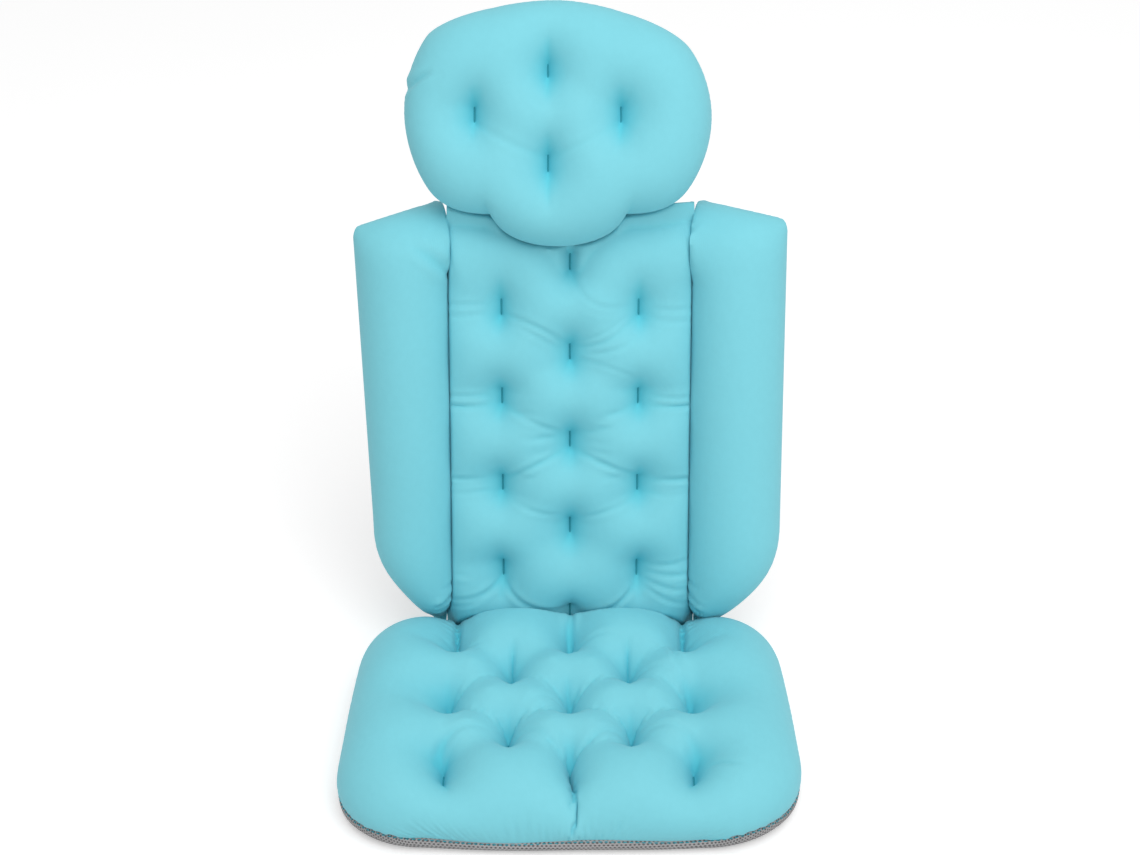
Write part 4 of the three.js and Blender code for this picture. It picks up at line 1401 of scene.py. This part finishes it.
def make_neck_strip(sizes, cushion, material):
    """The cloth strip that climbs from the neck seam and is sewn flat under the head cushion."""
    head = sizes.head
    foot = STRIP_FOOT * sizes.sewn.fold_clear
    lap = np.array([(foot, foot), *STRIP_CLIMB]) - (head.rise, head.standoff)
    fine = np.linspace(0, len(lap) - 1, STRIP_ROWS)
    rise = np.stack([np.interp(fine, np.arange(len(lap)), lap[:, axis]) for axis in (0, 1)], 1)
    across = np.linspace(-0.5, 0.5, STRIP_COLUMNS) * head.strip_width
    sag = STRIP_SAG * np.sin(np.linspace(0, math.pi * STRIP_WAVES, STRIP_COLUMNS))
    points = np.zeros((len(rise), len(across), 3))
    points[..., 0] = across
    points[..., 1] = rise[:, :1]
    free = np.sin(np.clip(fine / STRIP_FREE, 0, 1) * math.pi)
    points[..., 2] = rise[:, 1:] - free[:, None] * np.abs(sag)
    places = points[..., :2].reshape(-1, 2)
    under = np.where(
        inside_outline(places, cushion.tray_face()) > 0,
        underside(cushion, places) - STRIP_STANDOFF,
        points[..., 2].ravel(),
    )
    points[..., 2] = np.minimum(points[..., 2], under.reshape(points.shape[:2]))
    faces = grid_quads(STRIP_ROWS, STRIP_COLUMNS)
    made = new_object("neck_cloth_strip", cushion.to_model(points.reshape(-1, 3)), faces)
    run = run_along(rise)
    lay_uv(made, np.stack(np.meshgrid(across, run), axis=-1).reshape(-1, 2))
    made.data.materials.append(material)
    cloth = made.modifiers.new("cloth", "SOLIDIFY")
    cloth.thickness = STRIP_CLOTH
    cloth.offset = 0
    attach(made, "head")
    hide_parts("neck_strip")


def on_each_cushion(context, make, cloth):
    """Makes one kind of piece on every cushion, in one material."""
    sizes = context.scene.bath_pillow
    material = finished(cloth, sizes.finish)
    for cushion in all_cushions(sizes):
        make(cushion, material)
    return {"FINISHED"}


class MakeCovers(bpy.types.Operator):
    """Cut, stuff and crease the five padded covers"""

    bl_idname = "bath_pillow.make_covers"
    bl_label = "Padded Covers"
    bl_options = {"REGISTER", "UNDO"}

    def execute(self, context):
        sizes = context.scene.bath_pillow
        covers = [Cover(cushion, sizes.stuffing.spacing) for cushion in all_cushions(sizes)]
        stuff(covers, sizes.stuffing)
        material = finished(cover_cloth, sizes.finish)
        for cover in covers:
            finish_cover(cover, material)
        return {"FINISHED"}


class MakeTrays(bpy.types.Operator):
    """Make the mesh undersides of the five cushions"""

    bl_idname = "bath_pillow.make_trays"
    bl_label = "Mesh Trays"
    bl_options = {"REGISTER", "UNDO"}

    def execute(self, context):
        return on_each_cushion(context, make_tray, mesh_cloth)


class MakeTacks(bpy.types.Operator):
    """Sew the bar tacks of the tufts"""

    bl_idname = "bath_pillow.make_tacks"
    bl_label = "Bar Tacks"
    bl_options = {"REGISTER", "UNDO"}

    def execute(self, context):
        return on_each_cushion(context, sew_tacks, sewing_thread)


class MakeRims(bpy.types.Operator):
    """Sew the covers to the mesh along their rims"""

    bl_idname = "bath_pillow.make_rims"
    bl_label = "Rim Stitches"
    bl_options = {"REGISTER", "UNDO"}

    def execute(self, context):
        return on_each_cushion(context, sew_rim, sewing_thread)


class MakeFolds(bpy.types.Operator):
    """Roll the seams in the folds and lay the neck strip"""

    bl_idname = "bath_pillow.make_folds"
    bl_label = "Fold Seams"
    bl_options = {"REGISTER", "UNDO"}

    def execute(self, context):
        sizes = context.scene.bath_pillow
        material = finished(cover_cloth, sizes.finish)
        seat, back, _, _, head = all_cushions(sizes)
        roll_seam("waist_seam", seat, ROLL_ACROSS, material)
        roll_seam("left_wing_seam", back, ROLL_ALONG, material)
        roll_seam("right_wing_seam", back, ROLL_ALONG, material)
        roll_seam("neck_seam", back, ROLL_ACROSS, material)
        make_neck_strip(sizes, head, material)
        return {"FINISHED"}


def finished(make, finish):
    """The material of that name, made the first time it is asked for."""
    return bpy.data.materials.get(make.__name__) or make(finish)


class Nodes:
    """Adds and joins the nodes of one tree."""

    def __init__(self, tree):
        self.tree = tree

    def add(self, kind, **values):
        """A node of that kind; values set its attributes."""
        node = self.tree.nodes.new("ShaderNode" + kind)
        for name, value in values.items():
            setattr(node, name, value)
        return node

    def put(self, value, socket):
        """Joins an output to a socket, or sets the socket to a plain value."""
        if isinstance(value, bpy.types.NodeSocket):
            self.tree.links.new(value, socket)
        else:
            socket.default_value = value

    def feed(self, node, values):
        """Joins or sets the inputs of a node that have these labels."""
        for label, value in values.items():
            self.put(value, node.inputs[label])

    def math(self, operation, *values):
        """The result of a sum with up to three values."""
        node = self.add("Math", operation=operation)
        for value, socket in zip(values, node.inputs):
            self.put(value, socket)
        return node.outputs[0]

    def range(self, value, low, high, to_low=0.0, to_high=1.0):
        """A value carried smoothly from one range to another."""
        node = self.add("MapRange", interpolation_type="SMOOTHSTEP")
        for given, socket in zip((value, low, high, to_low, to_high), node.inputs):
            self.put(given, socket)
        return node.outputs[0]

    def mix(self, share, one, two):
        """A colour between two."""
        node = self.add("Mix", data_type="RGBA")
        for given, number in ((share, 0), (one, 6), (two, 7)):
            self.put(given, node.inputs[number])
        return node.outputs[2]

    def noise(self, vector, scale, detail, roughness):
        """Cloudy values between 0 and 1."""
        node = self.add("TexNoise")
        values = {"Vector": vector, "Scale": scale, "Detail": detail, "Roughness": roughness}
        self.feed(node, values)
        return node.outputs[0]


def node_group(name, inputs, outputs):
    """An empty node group: its nodes, the sockets that it is given and those of its results."""
    tree = bpy.data.node_groups.new(name, "ShaderNodeTree")
    for label, kind in inputs:
        tree.interface.new_socket(label, in_out="INPUT", socket_type="NodeSocket" + kind)
    for label, kind in outputs:
        tree.interface.new_socket(label, in_out="OUTPUT", socket_type="NodeSocket" + kind)
    given = tree.nodes.new("NodeGroupInput")
    result = tree.nodes.new("NodeGroupOutput")
    return Nodes(tree), given.outputs, result.inputs


def use_group(nodes, group, **values):
    """The outputs of a node group with these inputs."""
    node = nodes.add("Group", node_tree=group)
    nodes.feed(node, values)
    return node.outputs


def knit_group():
    """Fine ribs and loops of knitted cloth, with a share of shade in the hollows."""
    made = bpy.data.node_groups.get("Knit")
    if made:
        return made
    nodes, given, result = node_group(
        "Knit", [("Pitch", "Float")], [("Height", "Float"), ("Shade", "Float")]
    )
    place = nodes.add("TexCoord").outputs["UV"]
    parts = nodes.add("SeparateXYZ")
    nodes.put(place, parts.inputs[0])
    turn = nodes.math("DIVIDE", math.tau, given["Pitch"])
    across = nodes.math("MULTIPLY", parts.outputs[0], turn)
    along = nodes.math("MULTIPLY", parts.outputs[1], turn)
    slant, loops_per_rib = 1.6, 1.4
    rib_height, loop_height, level = 0.30, 0.20, 0.5
    rib = nodes.math("SINE", across)
    every_other = nodes.math("SINE", nodes.math("MULTIPLY", across, 0.5))
    lean = nodes.math("MULTIPLY", every_other, slant)
    loop = nodes.math("ADD", nodes.math("MULTIPLY", along, loops_per_rib), lean)
    height = nodes.math("MULTIPLY_ADD", rib, rib_height, level)
    height = nodes.math("MULTIPLY_ADD", nodes.math("SINE", loop), loop_height, height)
    nodes.put(height, result["Height"])
    nodes.put(nodes.range(height, 0.0, level, to_low=1.0, to_high=0.0), result["Shade"])
    return nodes.tree


def dyed_group():
    """Cloth whose dye and roughness vary a little from place to place, darkened further by the
    painted shade that it is given.
    """
    made = bpy.data.node_groups.get("DyeAndShade")
    if made:
        return made
    nodes, given, result = node_group(
        "DyeAndShade",
        [("Color", "Color"), ("Dark", "Color"), ("Shade", "Float")],
        [("Color", "Color"), ("Roughness", "Float")],
    )
    place = nodes.add("TexCoord").outputs["Object"]
    broad = nodes.noise(place, scale=9.0, detail=2.0, roughness=0.5)
    fine = nodes.noise(place, scale=160.0, detail=3.0, roughness=0.6)
    broad_share, fine_share, shade_share = 0.16, 0.08, 0.22
    least_rough, more_rough = 0.68, 0.16
    tone = nodes.math("MULTIPLY_ADD", nodes.range(broad, 0.3, 0.7), broad_share, 0.0)
    tone = nodes.math("MULTIPLY_ADD", nodes.range(fine, 0.35, 0.65), fine_share, tone)
    # Painted shade: the cloth darkens towards its dark tone as far as it is given shade.
    tone = nodes.math("MULTIPLY_ADD", given["Shade"], shade_share, tone)
    nodes.put(nodes.mix(tone, given["Color"], given["Dark"]), result["Color"])
    nodes.put(nodes.math("MULTIPLY_ADD", fine, more_rough, least_rough), result["Roughness"])
    return nodes.tree


def holes_group():
    """Rows of round holes, each row set over by half a hole."""
    made = bpy.data.node_groups.get("Holes")
    if made:
        return made
    nodes, given, result = node_group(
        "Holes", [("Pitch", "Float")], [("Hole", "Float"), ("Height", "Float")]
    )
    place = nodes.add("TexCoord").outputs["UV"]
    parts = nodes.add("SeparateXYZ")
    nodes.put(place, parts.inputs[0])
    row_height = math.sqrt(3) / 2
    along = nodes.math("DIVIDE", nodes.math("DIVIDE", parts.outputs[1], given["Pitch"]), row_height)
    shift = nodes.math("MULTIPLY", nodes.math("PINGPONG", nodes.math("FLOOR", along), 1.0), 0.5)
    across = nodes.math("ADD", nodes.math("DIVIDE", parts.outputs[0], given["Pitch"]), shift)
    aside = nodes.math("SUBTRACT", nodes.math("FRACT", across), 0.5)
    ahead = nodes.math("SUBTRACT", nodes.math("FRACT", along), 0.5)
    ahead = nodes.math("MULTIPLY", ahead, row_height)
    square = nodes.math("MULTIPLY", aside, aside)
    away = nodes.math("SQRT", nodes.math("MULTIPLY_ADD", ahead, ahead, square))
    nodes.put(nodes.range(away, 0.20, 0.33, to_low=1.0, to_high=0.0), result["Hole"])
    nodes.put(nodes.range(away, 0.16, 0.42), result["Height"])
    return nodes.tree


def new_material(name):
    """A material with its nodes and its shader."""
    made = bpy.data.materials.new(name)
    made.use_nodes = True
    return made, Nodes(made.node_tree), made.node_tree.nodes["Principled BSDF"]


def shade(bright, share):
    """A darker tone of a colour, opaque."""
    return tuple(share * part for part in bright) + (1,)


def bump(nodes, height, distance, strength):
    """Directions of a surface that rises by a height."""
    node = nodes.add("Bump")
    nodes.feed(node, {"Height": height, "Distance": distance, "Strength": strength})
    return node.outputs[0]


def cover_cloth(finish):
    """Soft turquoise knitted cloth with a faint bloom at glancing angles, and painted shade in its
    hollows and between its loops.
    """
    made, nodes, shader = new_material("cover_cloth")
    knit = use_group(nodes, knit_group(), Pitch=finish.knit_pitch)
    bright = (*finish.cover, 1)
    dark = shade(finish.cover, 0.86)
    dye_and_shade = use_group(nodes, dyed_group(), Color=bright, Dark=dark, Shade=knit["Shade"])
    # Painted shade: a deeper turquoise is mixed in where the cover lies sunk, in tufts and creases.
    sunk = nodes.add("Attribute", attribute_name="hollow_shade").outputs["Fac"]
    tone = nodes.mix(nodes.math("MULTIPLY", sunk, 0.85), dye_and_shade["Color"], (*finish.hollow_shade, 1))
    nodes.feed(
        shader,
        {
            "Base Color": tone,
            "Roughness": dye_and_shade["Roughness"],
            "Specular IOR Level": 0.25,
            "Sheen Weight": 0.12,
            "Sheen Roughness": 0.45,
            "Sheen Tint": (0.85, 0.95, 1.0, 1),
            "Normal": bump(nodes, knit["Height"], distance=0.0002, strength=0.3),
        },
    )
    return made


def mesh_cloth(finish):
    """Grey spacer mesh with rows of holes, painted dark for the shade inside them."""
    made, nodes, shader = new_material("mesh_cloth")
    holes = use_group(nodes, holes_group(), Pitch=finish.hole_pitch)
    bright = (*finish.mesh, 1)
    dark = shade(finish.mesh, 0.30)
    # Painted shade: the grey darkens where the holes are.
    dye_and_shade = use_group(nodes, dyed_group(), Color=bright, Dark=dark, Shade=holes["Hole"])
    nodes.feed(
        shader,
        {
            # Painted shade: the holes are coloured in the mesh's dark tone.
            "Base Color": nodes.mix(holes["Hole"], dye_and_shade["Color"], dark),
            "Roughness": dye_and_shade["Roughness"],
            "Specular IOR Level": 0.2,
            "Normal": bump(nodes, holes["Height"], distance=0.0009, strength=0.9),
        },
    )
    return made


def sewing_thread(finish):
    """Twisted thread, darker than the cover, with painted shade in the grooves of its twist."""
    made, nodes, shader = new_material("sewing_thread")
    place = nodes.add("TexCoord").outputs["Object"]
    twist = nodes.add("TexWave", wave_type="BANDS", bands_direction="DIAGONAL")
    nodes.feed(twist, {"Vector": place, "Scale": 420.0})
    # Painted shade: the thread is darker in the grooves of its twist, where its bump sinks.
    strand = twist.outputs["Fac"]
    nodes.feed(
        shader,
        {
            "Base Color": nodes.mix(strand, shade(finish.thread, 0.70), (*finish.thread, 1)),
            "Roughness": 0.7,
            "Normal": bump(nodes, strand, distance=0.0002, strength=0.6),
        },
    )
    return made


# The studio, in metres.
FLOOR_GAP = 0.0005  # how far the floor lies below the seat's underside
KEY_PLACE = (0.3, -0.9, 2.3)
FRONT_PLACE = (1.4, -2.2, 1.5)
LIGHT_SIZE = 1.8
SENSOR_WIDTH = 36  # in millimetres
FURTHEST_SEEN = 100
WHITE = (1, 1, 1, 1)


class MakeStudio(bpy.types.Operator):
    """Set up the floor, the lights and the camera"""

    bl_idname = "bath_pillow.make_studio"
    bl_label = "Studio"
    bl_options = {"REGISTER", "UNDO"}

    def execute(self, context):
        studio = context.scene.bath_pillow.studio
        half = studio.floor / 2
        corners = [(-half, -half, 0), (half, -half, 0), (half, half, 0), (-half, half, 0)]
        floor = new_object("studio_floor", corners, [(0, 1, 2, 3)])
        floor.location.z = -FLOOR_GAP
        floor.data.materials.append(floor_paint(studio.floor_glow))
        target = Vector((0, studio.target_y, studio.target_z))
        back = Vector((0, -math.cos(studio.elevation), math.sin(studio.elevation)))
        camera = bpy.data.objects.new("camera", bpy.data.cameras.new("camera"))
        camera.location = target + back * studio.distance
        camera.rotation_euler = back.to_track_quat("Z", "Y").to_euler()
        camera.data.lens = studio.lens
        camera.data.sensor_width = SENSOR_WIDTH
        camera.data.clip_end = FURTHEST_SEEN
        context.scene.collection.objects.link(camera)
        context.scene.camera = camera
        add_light("key_light", KEY_PLACE, target, studio.key)
        add_light("front_light", FRONT_PLACE, target, studio.front)
        context.scene.world = studio_air(studio.air)
        context.scene.view_settings.view_transform = "Standard"
        return {"FINISHED"}


def studio_air(strength):
    """White light from all round, and a white backdrop to the camera."""
    made = bpy.data.worlds.new("studio_air")
    made.use_nodes = True
    nodes = Nodes(made.node_tree)
    air = made.node_tree.nodes["Background"]
    seen = nodes.math("MULTIPLY", seen_rays(nodes), 1 - strength)
    nodes.feed(air, {"Color": WHITE, "Strength": nodes.math("ADD", seen, strength)})
    return made


def add_light(name, place, target, power):
    """A square soft light that faces the target."""
    lamp = bpy.data.lights.new(name, "AREA")
    lamp.shape = "SQUARE"
    lamp.size = LIGHT_SIZE
    lamp.energy = power
    made = bpy.data.objects.new(name, lamp)
    made.location = place
    made.rotation_euler = (Vector(place) - target).to_track_quat("Z", "Y").to_euler()
    bpy.context.scene.collection.objects.link(made)


def floor_paint(strength):
    """Matt white paint that glows enough to the camera to be white where no shadow falls."""
    made, nodes, shader = new_material("floor_paint")
    place = nodes.add("TexCoord").outputs["Object"]
    grain = nodes.noise(place, scale=3.0, detail=2.0, roughness=0.5)
    nodes.feed(
        shader,
        {
            "Base Color": nodes.mix(grain, (0.82, 0.82, 0.82, 1), (0.84, 0.84, 0.84, 1)),
            "Roughness": 1.0,
            "Specular IOR Level": 0.0,
            "Emission Color": WHITE,
            "Emission Strength": nodes.math("MULTIPLY", seen_rays(nodes), strength),
        },
    )
    return made


def seen_rays(nodes):
    """1 for rays that the camera sees directly, in a reflection or through something clear."""
    path = nodes.add("LightPath").outputs
    seen = nodes.math("MAXIMUM", path["Is Camera Ray"], path["Is Glossy Ray"])
    return nodes.math("MAXIMUM", seen, path["Is Transmission Ray"])


class SidePanel(bpy.types.Panel):
    """Lists the steps that make the bath pillow"""

    bl_idname = "VIEW3D_PT_bath_pillow"
    bl_label = "Bath Pillow"
    bl_space_type = "VIEW_3D"
    bl_region_type = "UI"
    bl_category = "Bath Pillow"

    def draw(self, context):
        for step in STEPS:
            self.layout.operator(step.bl_idname)


STEPS = (MakeCovers, MakeTrays, MakeTacks, MakeRims, MakeFolds, MakeStudio)
CLASSES = (
    SewnSizes,
    SeatSizes,
    BackSizes,
    BolsterSizes,
    HeadSizes,
    StuffingSettings,
    FinishSettings,
    StudioSettings,
    BathPillow,
    *STEPS,
    SidePanel,
)


def register():
    for one in CLASSES:
        bpy.utils.register_class(one)
    bpy.types.Scene.bath_pillow = bpy.props.PointerProperty(type=BathPillow)


def unregister():
    del bpy.types.Scene.bath_pillow
    for one in reversed(CLASSES):
        bpy.utils.unregister_class(one)


def main():
    register()
    bpy.ops.bath_pillow.make_covers()
    bpy.ops.bath_pillow.make_trays()
    bpy.ops.bath_pillow.make_tacks()
    bpy.ops.bath_pillow.make_rims()
    bpy.ops.bath_pillow.make_folds()
    bpy.ops.bath_pillow.make_studio()


if __name__ == "__main__":
    main()
